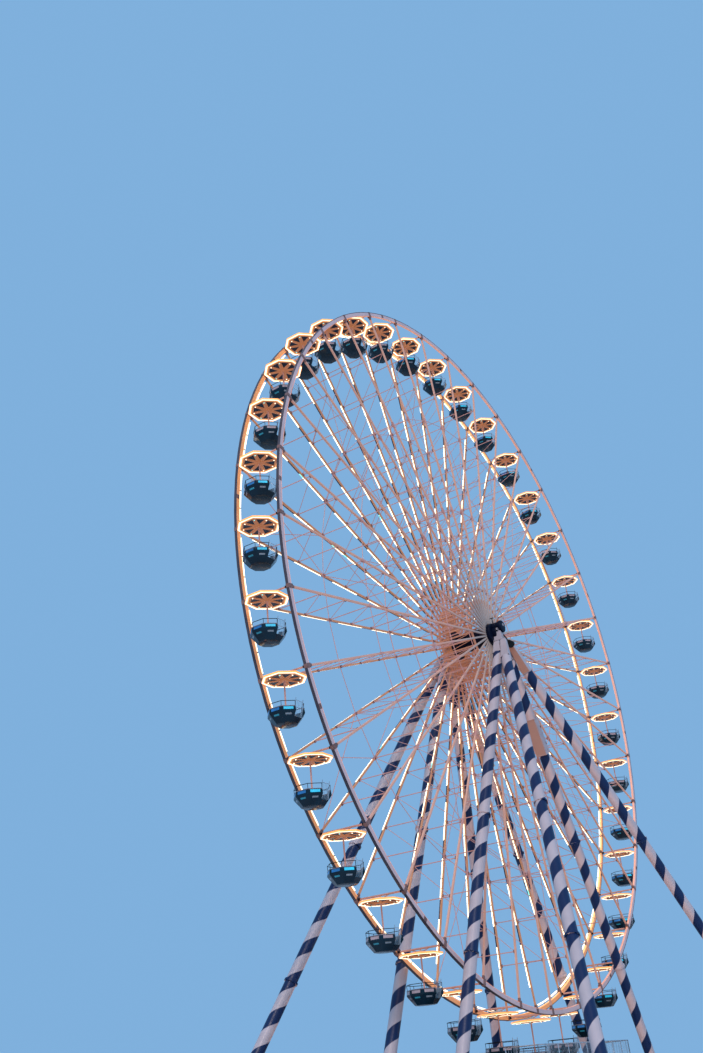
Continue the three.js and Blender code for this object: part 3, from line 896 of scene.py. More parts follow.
# %% Pierced gusset ring on the far side
GUSSET_ROWS = (1.14, 1.6, 2.06, 2.52, 2.98)
GUSSET_PLANE = 1.18
GUSSET_INSET, HOLE_CORNER, GUSSET_THICKNESS = 0.05, 0.055, 0.02
gusset_paint = steel_paint("gusset_tan_paint", (0.46, 0.24, 0.17), 0.75, lit=(0.12, 0.038, 0.016))


def make_gussets():
    shape = bmesh.new()
    row = [(distance, GUSSET_PLANE) for distance in GUSSET_ROWS]
    cells = add_turned(shape, row, Y_AXIS, len(cabin_names), first_turn=BAY / 2, strip=True)
    bmesh.ops.inset_individual(shape, faces=cells, thickness=GUSSET_INSET, use_even_offset=True)
    corners = list({vertex for face in cells for vertex in face.verts})
    bmesh.ops.bevel(shape, geom=corners, offset=HOLE_CORNER, offset_type="OFFSET", affect="VERTICES",
                    segments=1, profile=0.5, material=-1)
    holes = [face for face in shape.faces if len(face.verts) == 8
             and all(len(edge.link_faces) == 2 for edge in face.edges)]
    bmesh.ops.delete(shape, geom=holes, context="FACES")
    bmesh.ops.solidify(shape, geom=shape.faces[:], thickness=GUSSET_THICKNESS)
    bmesh.ops.recalc_face_normals(shape, faces=shape.faces[:])
    print("gusset holes:", len(holes))
    make_piece("far_gussets", shape, [gusset_paint], "wheel", "lattice_paint")


make_gussets()

# %% [markdown]
# ## Cabins
# All 36 cabins are alike but for the colours of their panels, so each part of a cabin is modelled
# once about its own axle and then copied to every axle. Heights are drops below that axle, as on a
# drawing. An instance would be lighter, but every cabin has to swing on its own body, so each one
# needs its own mesh.

# %% Copies of one cabin part on all axles
CABIN_SIDES = 8
WALL_FACES = CABIN_SIDES - 1
FACE_TURN = math.pi / CABIN_SIDES


def hang_on_cabins(part, shape, finishes, slot, names=cabin_names, stands_for_cabin=False):
    for name in names:
        piece_name = f"{name}_{part}"
        replaced = [name] if stands_for_cabin else []
        mesh = model_mesh(piece_name, shape, cabin_axle[name])
        hang_piece(piece_name, mesh, finishes, f"{name}_body", slot, *replaced)
    print(part, "on", len(names), "cabins,", len(shape.faces), "faces each")
    shape.free()


def cabin_point(azimuth, radius, drop):
    return Vector((radius * math.cos(azimuth), radius * math.sin(azimuth), -drop))


def add_cabin_ring(shape, points, finish=0, faces=CABIN_SIDES):
    """Spins (radius, drop) points in eight flat faces, or in seven that leave the entrance open."""
    outline = [(radius, -drop) for radius, drop in points]
    add_turned(shape, outline, Z_AXIS, faces, finish, -math.pi / 2 + FACE_TURN,
               FULL_TURN * faces / CABIN_SIDES)


def add_cabin_disc(shape, points, finish):
    """Spins (radius, drop) points that begin and end on the post to a small round part."""
    add_turned(shape, [(radius, -drop) for radius, drop in points], Z_AXIS, 16, finish)


# %% [markdown]
# ### Canopy
# Riders look up into an eight-sided roof: a flat tan ceiling with a dark triangular window in each
# sector, a rib to every corner and a round boss in the middle. A lip runs round the edge, outside the
# light tube; the tube's light on the lip and on a band of the ceiling next to it is painted as an
# orange glow, and the lamps' light on the rest of the ceiling as a weaker one. The roof grows out of
# one capped circle: its edge is extruded up, its top is poked to a low peak, and the windows are
# insets. The lip is a spun strip.

# %% Sizes and finishes of the canopy
CEILING_DROP, ROOF_EDGE_DROP, CROWN_DROP = 0.34, 0.24, 0.12
CEILING_RADIUS, TUBE_LIGHT_BAND = 1.03, 0.06
WINDOW_INSET, WINDOW_APEX, WINDOW_DEPTH = 0.1, 0.3, 0.012
RIB_DROP, RIB_START, RIB_END, RIB_WIDTH, RIB_DEPTH = 0.352, 0.1, 0.95, 0.05, 0.025
LIP = [(1.12, 0.26), (1.138, 0.26), (1.138, 0.345), (1.12, 0.345)]
BOSS = [(0.0, 0.335), (0.13, 0.335), (0.15, 0.35), (0.12, 0.4), (0.0, 0.4)]
ROOF_CAP = [(0.0, 0.16), (0.2, 0.17), (0.16, 0.105), (0.0, 0.1)]
CEILING, ROOF, WINDOW, BAND = range(4)
canopy_paint = steel_paint("canopy_tan", (0.52, 0.24, 0.12), 0.8, (0.35, 0.55), cloud=5.0,
                           lit=(0.22, 0.065, 0.015))
roof_paint = steel_paint("canopy_roof_cream", (0.62, 0.52, 0.42), 0.75, (0.4, 0.6), cloud=3.0)
window_glass = steel_paint("canopy_window_glass", (0.010, 0.012, 0.03), 0.5, (0.2, 0.4), cloud=4.0,
                           shine=0.3)


# %% Canopy from one eight-sided disc
def highest_and_lowest(shape):
    by_height = sorted(shape.faces, key=lambda face: face.calc_center_median().z)
    return by_height[-1], by_height[0]


def add_roof(shape):
    """A capped circle is extruded up and poked to a peak; the face that looks down is returned."""
    bmesh.ops.create_circle(shape, cap_ends=True, segments=CABIN_SIDES, radius=CEILING_RADIUS)
    bmesh.ops.rotate(shape, verts=shape.verts, cent=ORIGIN, matrix=Matrix.Rotation(FACE_TURN, 3, "Z"))
    bmesh.ops.translate(shape, verts=shape.verts, vec=Z_AXIS * -CEILING_DROP)
    raised = bmesh.ops.extrude_face_region(shape, geom=shape.faces[:], use_keep_orig=True)["geom"]
    rim = [item for item in raised if isinstance(item, bmesh.types.BMVert)]
    bmesh.ops.translate(shape, verts=rim, vec=Z_AXIS * (CEILING_DROP - ROOF_EDGE_DROP))
    bmesh.ops.recalc_face_normals(shape, faces=shape.faces[:])
    roof, ceiling = highest_and_lowest(shape)
    peak = bmesh.ops.poke(shape, faces=[roof])
    peak["verts"][0].co.z = -CROWN_DROP
    paint_faces(peak["faces"], ROOF)
    return ceiling


def add_windows(shape, ceiling):
    """Insets the ceiling for a band that carries the edge tube's painted light, then each of its eight
    sectors for a sunk window.
    """
    band = bmesh.ops.inset_region(shape, faces=[ceiling], thickness=TUBE_LIGHT_BAND, use_even_offset=True)
    paint_faces(band["faces"], BAND)
    sectors = bmesh.ops.poke(shape, faces=[ceiling])["faces"]
    bmesh.ops.inset_individual(shape, faces=sectors, thickness=WINDOW_INSET, use_even_offset=True)
    for sector in sectors:
        apex = min(sector.verts, key=lambda vertex: vertex.co.xy.length)
        apex.co.xy = apex.co.xy.normalized() * WINDOW_APEX
    paint_faces(sectors, WINDOW)
    sunk = bmesh.ops.extrude_discrete_faces(shape, faces=sectors)["faces"]
    bmesh.ops.translate(shape, verts=[vertex for face in sunk for vertex in face.verts],
                        vec=Z_AXIS * WINDOW_DEPTH)


def make_canopies():
    shape = bmesh.new()
    add_windows(shape, add_roof(shape))
    add_cabin_ring(shape, LIP, BAND)
    for index in range(CABIN_SIDES):
        azimuth = FACE_TURN + index * 2 * FACE_TURN
        start, end = (cabin_point(azimuth, radius, RIB_DROP) for radius in (RIB_START, RIB_END))
        add_bar(shape, start, end, RIB_WIDTH, RIB_DEPTH, Z_AXIS, CEILING, 0.005)
    add_cabin_disc(shape, BOSS, CEILING)
    add_cabin_disc(shape, ROOF_CAP, ROOF)
    # The lip and the ceiling's edge band carry the tube's painted light, and the ceiling the lamps' weaker
    # painted glow
    hang_on_cabins("canopy", shape, [canopy_paint, roof_paint, window_glass, painted_tube_light], "canopy_panel")


make_canopies()

# %% [markdown]
# ### Edge lights
# A thick glowing tube runs round the canopy's edge, bent at eight corners, and small lamps dot the
# ceiling. The tube is a round section spun in eight steps, so that its corners are true mitres.

# %% Light tube and ceiling lamps
EDGE_TUBE_PATH, EDGE_TUBE_DROP, EDGE_TUBE_RADIUS = 1.075, 0.315, 0.048
CEILING_LAMP_PLACE, CEILING_LAMP_DROP, CEILING_LAMP_RADIUS = 0.8, CEILING_DROP + 0.03, 0.035
COOL_CEILING_LAMPS = (1, 4)


def round_section(path, drop, radius, sides):
    """The (radius, drop) points of a tube that is spun round a cabin's post."""
    turns = (index * FULL_TURN / sides for index in range(sides))
    return [(path + radius * math.cos(turn), drop + radius * math.sin(turn)) for turn in turns]


def make_cabin_lights():
    shape = bmesh.new()
    add_cabin_ring(shape, round_section(EDGE_TUBE_PATH, EDGE_TUBE_DROP, EDGE_TUBE_RADIUS, 10))
    for index in range(CABIN_SIDES):
        azimuth = FACE_TURN + index * 2 * FACE_TURN
        place = Matrix.Translation(cabin_point(azimuth, CEILING_LAMP_PLACE, CEILING_LAMP_DROP))
        made = bmesh.ops.create_icosphere(shape, subdivisions=1, radius=CEILING_LAMP_RADIUS, matrix=place)
        paint_faces(new_faces(made), 1 if index in COOL_CEILING_LAMPS else 0)
    hang_on_cabins("lights", shape, [warm_lamp, cool_lamp], "light_tube")


make_cabin_lights()

# %% [markdown]
# ### Bowl
# The riders sit in an eight-sided moulded bowl. Its foot is a full turned dish; the wall above it
# is turned through seven of the eight faces, which leaves the entrance open on the near side. The
# wall has an outer skin and a paler lining, a capping rail, and on each face a coloured panel with a
# painted highlight under it, teal or pale. The cyan and blue panels and the teal highlights glow,
# which is painted light. The bowls come in two colour schemes, six of one and then six of the other.

# %% Sizes and finishes of the bowl
BOWL_FOOT = [(0.0, 2.62), (0.5, 2.62), (0.56, 2.6), (0.744, 2.38), (0.62, 2.38), (0.55, 2.5), (0.0, 2.5)]
BOWL_SKIN = [(0.744, 2.38), (0.915, 2.17), (0.93, 2.13), (0.9, 1.92), (0.865, 1.92), (0.7, 2.38)]
BOWL_LINING = [(0.698, 2.38), (0.862, 1.925), (0.83, 1.925), (0.615, 2.38)]
BOWL_CAPPING = [(0.82, 1.935), (0.91, 1.935), (0.915, 1.915), (0.91, 1.895), (0.82, 1.895)]
BENCH = [(0.5, 2.49), (0.5, 2.14), (0.52, 2.1), (0.71, 2.1), (0.59, 2.42)]
SKIN, LINING, CAPPING, SEAT, CYAN, PINK, BLUE, TEAL_HIGHLIGHT, PALE_HIGHLIGHT = range(9)
WALL_PARTS = ((BOWL_SKIN, SKIN), (BOWL_LINING, LINING), (BOWL_CAPPING, CAPPING), (BENCH, SEAT))
# The cyan and blue panels and the teal highlight glow though the bowl holds no lamp: painted light. The
# teal and pale patches are painted highlights.
BOWL_FINISHES = [
    steel_paint("bowl_dark_gloss", (0.004, 0.024, 0.042), 0.5, (0.12, 0.3), cloud=2.5, shine=0.25),
    steel_paint("bowl_lining", (0.16, 0.24, 0.30), 0.75, (0.4, 0.6), cloud=4.0),
    steel_paint("bowl_capping", (0.22, 0.19, 0.22), 0.7, (0.25, 0.45), cloud=5.0),
    steel_paint("bench_shell", (0.02, 0.10, 0.17), 0.7, (0.35, 0.55), cloud=6.0),
    lamp_glass("cyan_panel", (0.03, 0.50, 0.72), 0.55, 0.4),
    steel_paint("pink_panel", (0.50, 0.36, 0.37), 0.7, (0.15, 0.35), cloud=5.0),
    lamp_glass("blue_panel", (0.02, 0.16, 0.42), 0.35, 0.5),
    lamp_glass("teal_painted_highlight", (0.02, 0.22, 0.30), 0.4, 0.4),
    steel_paint("pale_painted_highlight", (0.32, 0.34, 0.36), 0.7, (0.15, 0.35), cloud=5.0),
]
CYAN_SCHEME = {0: PINK, 1: BLUE, 2: PINK, 3: BLUE, 4: BLUE, 5: CYAN, 7: CYAN}
PINK_SCHEME = {0: BLUE, 1: PINK, 2: BLUE, 3: PINK, 4: PINK, 5: PINK, 7: PINK}
CABINS_PER_SCHEME = 6
# Radius, drop, half width, height and lean of a panel, and of the painted highlight under it
PANEL = (0.915, 2.02, 0.235, 0.135, 0.13)
SPOT = (0.8, 2.29, 0.15, 0.13, -0.85)


# %% Bowl, lining, bench and panels
def add_wall_patch(shape, azimuth, finish, radius, drop, half_width, height, lean):
    """A flat panel on one face of the bowl, tipped by lean to lie on the sloping skin."""
    outward = cabin_point(azimuth, 1, 0)
    sideways = Vector((-outward.y, outward.x, 0)) * half_width
    middle = cabin_point(azimuth, radius * math.cos(FACE_TURN) + 0.005, drop)
    upright = (outward + Z_AXIS * lean).normalized()
    add_bar(shape, middle - sideways, middle + sideways, height, 0.02, upright, finish, 0.006)


def make_bowls(part, scheme, names):
    shape = bmesh.new()
    add_cabin_ring(shape, BOWL_FOOT, SKIN)
    for outline, finish in WALL_PARTS:
        add_cabin_ring(shape, outline, finish, WALL_FACES)
    for index, finish in scheme.items():
        azimuth = index * 2 * FACE_TURN
        add_wall_patch(shape, azimuth, finish, *PANEL)
        # Under each panel a painted highlight, teal and pale by turns
        add_wall_patch(shape, azimuth, PALE_HIGHLIGHT if index % 2 else TEAL_HIGHLIGHT, *SPOT)
    hang_on_cabins(part, shape, BOWL_FINISHES, "cabin_shell", names, stands_for_cabin=True)


cyan_cabins = [name for index, name in enumerate(cabin_names) if (index + 1) // CABINS_PER_SCHEME % 2]
make_bowls("cyan_bowl", CYAN_SCHEME, cyan_cabins)
make_bowls("pink_bowl", PINK_SCHEME, [name for name in cabin_names if name not in cyan_cabins])

# %% [markdown]
# ### Shaft, post and railing
# Each cabin hangs from a shaft that spans the two rims. A thin post drops from it through the roof
# to the bowl's floor, and a railing stands on the bowl's edge, with a low gate of upright rods at
# the entrance. Round tubes do all of it, and the railing's hoop is a turned ring with a gap.

# %% Shaft, post, railing and gate
SHAFT_END, SHAFT_RADIUS, COLLAR_START, COLLAR_HALF = 1.285, 0.05, 1.17, 0.059
STRUT_START, STRUT_END, STRUT_RADIUS = (0, 0.5, -0.03), (0, 0.16, -0.15), 0.025
POST_START, POST_END, POST_RADIUS = 0.02, 2.5, 0.04
POST_CONE_RADIUS, POST_CONE_HEIGHT, POST_CONE_TOP = 0.11, 0.06, 0.06
RAIL_DROP, RAIL_PATH, RAIL_RADIUS = 1.66, 0.885, 0.017
STANCHION_PATH, STANCHION_DROP, STANCHION_RADIUS = 0.87, 1.92, 0.014
GATE_TOP, GATE_SILL, GATE_ROD_TOP = 1.5, 2.36, 1.62
GATE_HALF_WIDTH, GATE_PLANE, GATE_SILL_SHARE = 0.28, 0.835, 0.82
GATE_GAPS, GATE_BAR_DROPS = 5, (GATE_ROD_TOP, 1.95)
GATE_POST_RADIUS, GATE_ROD_RADIUS, GATE_BAR_RADIUS = 0.018, 0.009, 0.012
post_paint = steel_paint("post_tan_paint", (0.52, 0.30, 0.25), 0.8, lit=(0.16, 0.05, 0.025))


def evenly(low, high, gaps):
    """Places from low to high with this number of equal gaps between them."""
    return [low + index * (high - low) / gaps for index in range(gaps + 1)]


def gate_point(x, drop):
    """A point of the gate, which leans outward from its sill to its top."""
    height_share = (GATE_SILL - drop) / (GATE_SILL - GATE_TOP)
    depth = GATE_PLANE * (GATE_SILL_SHARE + (1 - GATE_SILL_SHARE) * height_share)
    return Vector((x, -depth, -drop))


def add_gate(shape):
    for x in evenly(-GATE_HALF_WIDTH, GATE_HALF_WIDTH, GATE_GAPS):
        outer = abs(x) > GATE_HALF_WIDTH - 0.001
        top = Vector((x, -GATE_PLANE, -GATE_TOP if outer else -GATE_ROD_TOP))
        add_tube(shape, gate_point(x, GATE_SILL), top, GATE_POST_RADIUS if outer else GATE_ROD_RADIUS, 6, 2)
    for drop in GATE_BAR_DROPS:
        left, right = (gate_point(x, drop) for x in around(0, GATE_HALF_WIDTH))
        add_tube(shape, left, right, GATE_BAR_RADIUS, 6, 2)


def make_cabin_frames():
    shape = bmesh.new()
    add_tube(shape, Y_AXIS * -SHAFT_END, Y_AXIS * SHAFT_END, SHAFT_RADIUS, 12)
    for side in (-1, 1):
        collar = around(0, COLLAR_HALF)
        add_box(shape, collar, (side * COLLAR_START, side * SHAFT_END), collar, 1, 0.012)
        add_tube(shape, on_side(side, *STRUT_START), on_side(side, *STRUT_END), STRUT_RADIUS, 6)
    post_foot, cone_top = Z_AXIS * -POST_END, Z_AXIS * (POST_CONE_HEIGHT - POST_END)
    add_tube(shape, Z_AXIS * -POST_START, post_foot, POST_RADIUS, 10)
    add_tube(shape, post_foot, cone_top, POST_CONE_RADIUS, 10, 1, POST_CONE_TOP)
    add_cabin_ring(shape, round_section(RAIL_PATH, RAIL_DROP, RAIL_RADIUS, 6), 1, WALL_FACES)
    for index in range(CABIN_SIDES):
        azimuth = -math.pi / 2 + FACE_TURN + index * 2 * FACE_TURN
        foot = cabin_point(azimuth, STANCHION_PATH, STANCHION_DROP)
        add_tube(shape, foot, cabin_point(azimuth, RAIL_PATH, RAIL_DROP), STANCHION_RADIUS, 5, 1)
    add_gate(shape)
    hang_on_cabins("frame", shape, [post_paint, black_paint, rail_steel], "rail_steel")


make_cabin_frames()

# %% [markdown]
# ## Bearing heads
# On each side the axle ends under a wide navy cover disc. A white pedestal carries it and widens
# downward to its foot, where plate rings close it and four box arms spread out, one for each leg.
# A small round port opens on its left face, and a black disc in it is painted shade. Over the
# pedestal lies a navy drum with a round end cap, set a little higher than the axle, which houses the
# cables and the brake. A small white disc high on the cap is a painted highlight. The turned parts
# are spun outlines; the pedestal and the arms are box bars that grow towards one end.

# %% Cover disc, cable drum and end cap
CABLE_DRUM_RISE, END_CAP_RISE, CAP_HIGHLIGHT_RISE = 0.44, 0.36, 0.46
# Outlines of (radius, place outward along the axle)
COVER_DISC = [(0.33, 1.46), (0.72, 1.46), (0.74, 1.48), (0.74, 1.58), (0.71, 1.62), (0.5, 1.66),
              (0.33, 1.67)]
BEARING = [(0.32, 1.66), (0.4, 1.66), (0.42, 1.69), (0.42, 1.86), (0.38, 1.9), (0.0, 1.9), (0.0, 1.8),
           (0.32, 1.8)]
CABLE_DRUM = [(0.0, 1.5), (0.27, 1.5), (0.3, 1.54), (0.3, 2.16), (0.0, 2.16)]
END_CAP = [(0.0, 2.08), (0.39, 2.08), (0.42, 2.11), (0.42, 2.25), (0.39, 2.3), (0.2, 2.33), (0.0, 2.33)]
# A small white disc set high on the end cap: a painted highlight
CAP_HIGHLIGHT = [(0.0, 2.32), (0.09, 2.32), (0.09, 2.342), (0.075, 2.346), (0.0, 2.346)]
# Count, radius of their circle, place outward, rise, and each bolt's radius and height
COVER_BOLTS = (16, 0.66, 1.6, 0, 0.022, 0.03)
CAP_BOLTS = (12, 0.36, 2.3, END_CAP_RISE, 0.02, 0.02)


def add_on_axle(shape, side, outline, steps, rise=0.0, finish=0):
    """Spins one of the outlines above on its side; rise lifts the result."""
    points = [(radius, side * place) for radius, place in outline]
    faces = add_turned(shape, points, Y_AXIS, steps, finish)
    lifted = list({vertex for face in faces for vertex in face.verts})
    bmesh.ops.translate(shape, verts=lifted, vec=Z_AXIS * rise)


def add_bolt_circle(shape, side, count, radius, place, rise, bolt_radius, height):
    for index in range(count):
        foot = wheel_point(radius, index * FULL_TURN / count, side * place) + Z_AXIS * rise
        add_bolt(shape, foot, Y_AXIS * side, 0, bolt_radius, height)


def make_housing(side_name, side):
    shape = bmesh.new()
    add_on_axle(shape, side, COVER_DISC, 64)
    add_on_axle(shape, side, BEARING, 40)
    add_on_axle(shape, side, CABLE_DRUM, 36, CABLE_DRUM_RISE)
    add_on_axle(shape, side, END_CAP, 40, END_CAP_RISE)
    # The painted highlight, white, high on the end cap
    add_on_axle(shape, side, CAP_HIGHLIGHT, 20, CAP_HIGHLIGHT_RISE, 1)
    add_bolt_circle(shape, side, *COVER_BOLTS)
    add_bolt_circle(shape, side, *CAP_BOLTS)
    make_piece(f"{side_name}_axle_housing", shape, [navy_paint, white_paint], "support", "hub_paint")


on_both_sides(make_housing)

# %% Where each leg leaves the head and where it lands
APEX_OFFSET = 2.05
# For each leg, how far it goes sideways and outward in each metre that it drops
LEG_SLOPES = {"frame_leg_left": (-0.49, 0.0), "frame_leg_right": (0.49, 0.0),
              "outrigger_left": (-0.561, 0.3), "outrigger_right": (0.561, 0.3)}
ARM_END_DROPS = {"frame_leg_left": 1.8, "frame_leg_right": 1.8,
                 "outrigger_left": 2.4, "outrigger_right": 2.7}


def leg_point(leg, side, drop):
    """The point on a leg's centre line at this drop below the axle."""
    slope, reach = LEG_SLOPES[leg]
    return on_side(side, slope * drop, APEX_OFFSET + reach * drop, -drop)


# %% Pedestal and arms
ARM_START_DROP = 0.79
FRAME_ARM_SHIFT, OUTRIGGER_ARM_SHIFT = -0.17, 0.11
ARM_WIDTH, ARM_DEPTH, ARM_GROWTH, ARM_LIP = 0.29, 0.37, 1.55, 0.03
PEDESTAL_FOOT, PEDESTAL_HEAD = (0, 1.94, -0.66), (0, 1.93, 0.3)
PEDESTAL_WIDTH, PEDESTAL_DEPTH, PEDESTAL_GROWTH = 0.64, 0.62, 0.74
# Rise over the pedestal's foot, added width, thickness and finish of its three plate rings
PEDESTAL_RINGS = ((0.05, 0.05, 0.05, 0), (0.0, 0.03, 0.06, 1), (-0.06, 0.0, 0.07, 0))
PORT_PLACE, PORT_RADIUS = (-0.2496, 1.96, 0.06), 0.07


def add_plate_ring(shape, place, along, width, depth, thickness, finish):
    """A square plate across a box bar, centred at place."""
    half = along * (thickness / 2)
    add_bar(shape, place - half, place + half, width, depth, Y_AXIS, finish, 0.006)


def add_arm(shape, leg, side):
    slope, reach = LEG_SLOPES[leg]
    shift = OUTRIGGER_ARM_SHIFT if reach else FRAME_ARM_SHIFT
    start = leg_point(leg, side, ARM_START_DROP) + Y_AXIS * side * shift
    end = leg_point(leg, side, ARM_END_DROPS[leg])
    along = (end - start).normalized()
    # Arms that lean right wear the white paint with painted shade and lamp light on their undersides
    add_bar(shape, start, end, ARM_WIDTH, ARM_DEPTH, Y_AXIS, 3 if slope > 0 else 0, 0.015, ARM_GROWTH)
    lip = ARM_WIDTH * ARM_GROWTH + ARM_LIP, ARM_DEPTH * ARM_GROWTH + ARM_LIP
    add_plate_ring(shape, end - along * 0.04, along, *lip, 0.05, 0)
    add_plate_ring(shape, end, along, *lip, 0.02, 1)


def make_pedestal(side_name, side):
    shape = bmesh.new()
    foot, port = on_side(side, *PEDESTAL_FOOT), on_side(side, *PORT_PLACE)
    add_bar(shape, foot, on_side(side, *PEDESTAL_HEAD), PEDESTAL_WIDTH, PEDESTAL_DEPTH, Y_AXIS, 0, 0.03,
            PEDESTAL_GROWTH)
    for rise, added, thickness, finish in PEDESTAL_RINGS:
        add_plate_ring(shape, foot + Z_AXIS * rise, Z_AXIS, PEDESTAL_WIDTH + added, PEDESTAL_DEPTH + added,
                       thickness, finish)
    # The port is a black disc standing a little proud: painted shade inside the opening
    add_tube(shape, port - X_AXIS * 0.03, port + X_AXIS * 0.04, PORT_RADIUS, 12, 2)
    for leg in LEG_SLOPES:
        add_arm(shape, leg, side)
    # The second finish is near black for the seam rings; the last is the white paint with painted shade and
    # lamp light below
    finishes = [white_paint, shadow_strip_and_seam_paint, black_paint, underside_lit_white_paint]
    make_piece(f"{side_name}_pedestal_and_arms", shape, finishes, "support", "head_white",
               f"{side_name}_bearing_head")


on_both_sides(make_pedestal)
print("pedestal and arms:", piece_faces["near_pedestal_and_arms"], "faces")

# %% [markdown]
# A few small fittings sit on the head: a round black floodlight on a bent arm, and a short post
# with a crossbar where the cable drum meets the cover disc.

# %% Floodlight and mast on the heads
# Start and end along the floodlight's aim, radius, sides, finish and end radius of its parts
FLOOD_PARTS = ((-0.2, 0.12, 0.19, 24, 0, 0.23), (0.12, 0.17, 0.242, 24, 0, 0.242),
               (0.165, 0.18, 0.2, 24, 1, 0.2), (-0.24, -0.13, 0.08, 12, 0, 0.08))
FLOOD_PLACE, FLOOD_AIM = (0.06, 2.6, -0.96), (-0.35, 0.6, -0.7)
BRACKET_START, BRACKET_ELBOW, BRACKET_RADIUS = (0.12, 2.15, -0.12), (0.12, 2.3, -0.36), 0.045
MAST_FOOT, MAST_TOP, MAST_RADIUS = (0, 1.62, 0.66), (0, 1.62, 1.14), 0.03
CROSSBAR_INWARD, CROSSBAR_OUTWARD = 0.17, 0.102
lens_glass = steel_paint("flood_lens", (0.012, 0.012, 0.013), gloss=(0.1, 0.2), shine=0.2)


def make_fittings(side_name, side):
    shape = bmesh.new()
    flood, aim = on_side(side, *FLOOD_PLACE), on_side(side, *FLOOD_AIM).normalized()
    for start, end, *form in FLOOD_PARTS:
        add_tube(shape, flood + aim * start, flood + aim * end, *form)
    elbow, top, outward = on_side(side, *BRACKET_ELBOW), on_side(side, *MAST_TOP), Y_AXIS * side
    add_tube(shape, on_side(side, *BRACKET_START), elbow, BRACKET_RADIUS, 8)
    add_tube(shape, elbow, flood - aim * 0.1, BRACKET_RADIUS, 8)
    add_tube(shape, on_side(side, *MAST_FOOT), top, MAST_RADIUS, 8)
    add_tube(shape, top - outward * CROSSBAR_INWARD, top + outward * CROSSBAR_OUTWARD, MAST_RADIUS, 8)
    make_piece(f"{side_name}_head_fittings", shape, [black_paint, lens_glass], "support", "black_fitting")


on_both_sides(make_fittings)

# %% [markdown]
# One leg of each tower carries a long switch box, built round the tube. It is a box bar along the
# leg's own line, with an end plate at the top and at the foot and two doors on its outer face.

# %% Switch box on one leg of each tower
SWITCH_BOX_START, SWITCH_BOX_END = 5.45, 7.6
SWITCH_BOX_WIDTH, SWITCH_BOX_DEPTH = 0.72, 0.68
END_PLATE_EXTRA, END_PLATE_THICKNESS = 0.05, 0.05
DOOR_PLACES, DOOR_HALF_LENGTH, DOOR_WIDTH, DOOR_THICKNESS = (0.27, 0.73), 0.42, 0.58, 0.04
HANDLE_HALF, HANDLE_WIDTH, HANDLE_LIFT, HANDLE_SHIFT = 0.07, 0.03, 0.03, 0.2


def make_switch_box(side_name, side):
    shape = bmesh.new()
    start, end = (leg_point("frame_leg_right", side, drop) for drop in (SWITCH_BOX_START, SWITCH_BOX_END))
    along = (end - start).normalized()
    add_bar(shape, start, end, SWITCH_BOX_WIDTH, SWITCH_BOX_DEPTH, Y_AXIS, 0, 0.02)
    for place in (start, end):
        add_plate_ring(shape, place, along, SWITCH_BOX_WIDTH + END_PLATE_EXTRA,
                       SWITCH_BOX_DEPTH + END_PLATE_EXTRA, END_PLATE_THICKNESS, 0)
    for share in DOOR_PLACES:
        door = start.lerp(end, share) + Y_AXIS * side * (SWITCH_BOX_DEPTH / 2)
        reach = along * DOOR_HALF_LENGTH
        add_bar(shape, door - reach, door + reach, DOOR_WIDTH, DOOR_THICKNESS, Y_AXIS, 0, 0.008)
        handle = door + Y_AXIS * side * HANDLE_LIFT + along.cross(Y_AXIS) * HANDLE_SHIFT
        grip = along * HANDLE_HALF
        add_bar(shape, handle - grip, handle + grip, HANDLE_WIDTH, HANDLE_WIDTH, Y_AXIS, 1)
    # The box wears the white paint with painted shade and lamp light on its undersides
    make_piece(f"{side_name}_switch_box", shape, [underside_lit_white_paint, black_paint], "support", "head_white")


on_both_sides(make_switch_box)

# %% [markdown]
# ## Striped legs
# The legs are round tubes that carry a painted spiral, half white and half navy, like a barber's
# pole. The spiral has to follow each leaning tube, so every leg gets its own map of the surface:
# the turn round the tube across, and the drop below the axle up. The stripe is then one sum: where
# turn plus drop over pitch lies near a whole number, the paint is navy. Each leg starts its spiral
# at a turn of its own, as on the real ride.

# %% Stripe paint on the leg's own map
STRIPE_PITCH = 1.71
STRIPE_HALF_SHARE, STRIPE_SOFTNESS = 0.235, 0.012
STRIPE_WHITE, STRIPE_NAVY = (0.54, 0.46, 0.49), (0.006, 0.022, 0.085)
# The lamps' warm light, painted as a glow on the undersides of the white stripes
STRIPE_UNDERSIDE_LAMP_LIGHT = (0.16, 0.07, 0.035)


def math_node(tree, operation, first, second):
    made = node(tree, "ShaderNodeMath", operation=operation)
    tree.links.new(first, made.inputs[0])
    if isinstance(second, float):
        made.inputs[1].default_value = second
    else:
        tree.links.new(second, made.inputs[1])
    return made.outputs["Value"]


def stripe_paint():
    material, tree, shader = new_material("spiral_stripe_paint")
    surface = node(tree, "ShaderNodeUVMap", uv_map="leg_map")
    parts = node(tree, "ShaderNodeSeparateXYZ")
    tree.links.new(surface.outputs["UV"], parts.inputs["Vector"])
    dropped = math_node(tree, "DIVIDE", parts.outputs["Y"], STRIPE_PITCH)
    spiral = math_node(tree, "ADD", parts.outputs["X"], dropped)
    wave = math_node(tree, "PINGPONG", spiral, 0.5)
    edge = stretch(tree, wave, *around(STRIPE_HALF_SHARE, STRIPE_SOFTNESS))
    weathered(tree, shader, blend(tree, edge, STRIPE_NAVY, STRIPE_WHITE), 0.9, (0.3, 0.5), 2.2)
    # The white stripes' undersides get the lamps' light painted on as a glow
    glow = blend(tree, downward_share(tree), BLACK, STRIPE_UNDERSIDE_LAMP_LIGHT)
    glow_with(tree, shader, blend(tree, edge, BLACK, glow))
    shader.inputs["Specular IOR Level"].default_value = 0.3
    return material


leg_paint = stripe_paint()

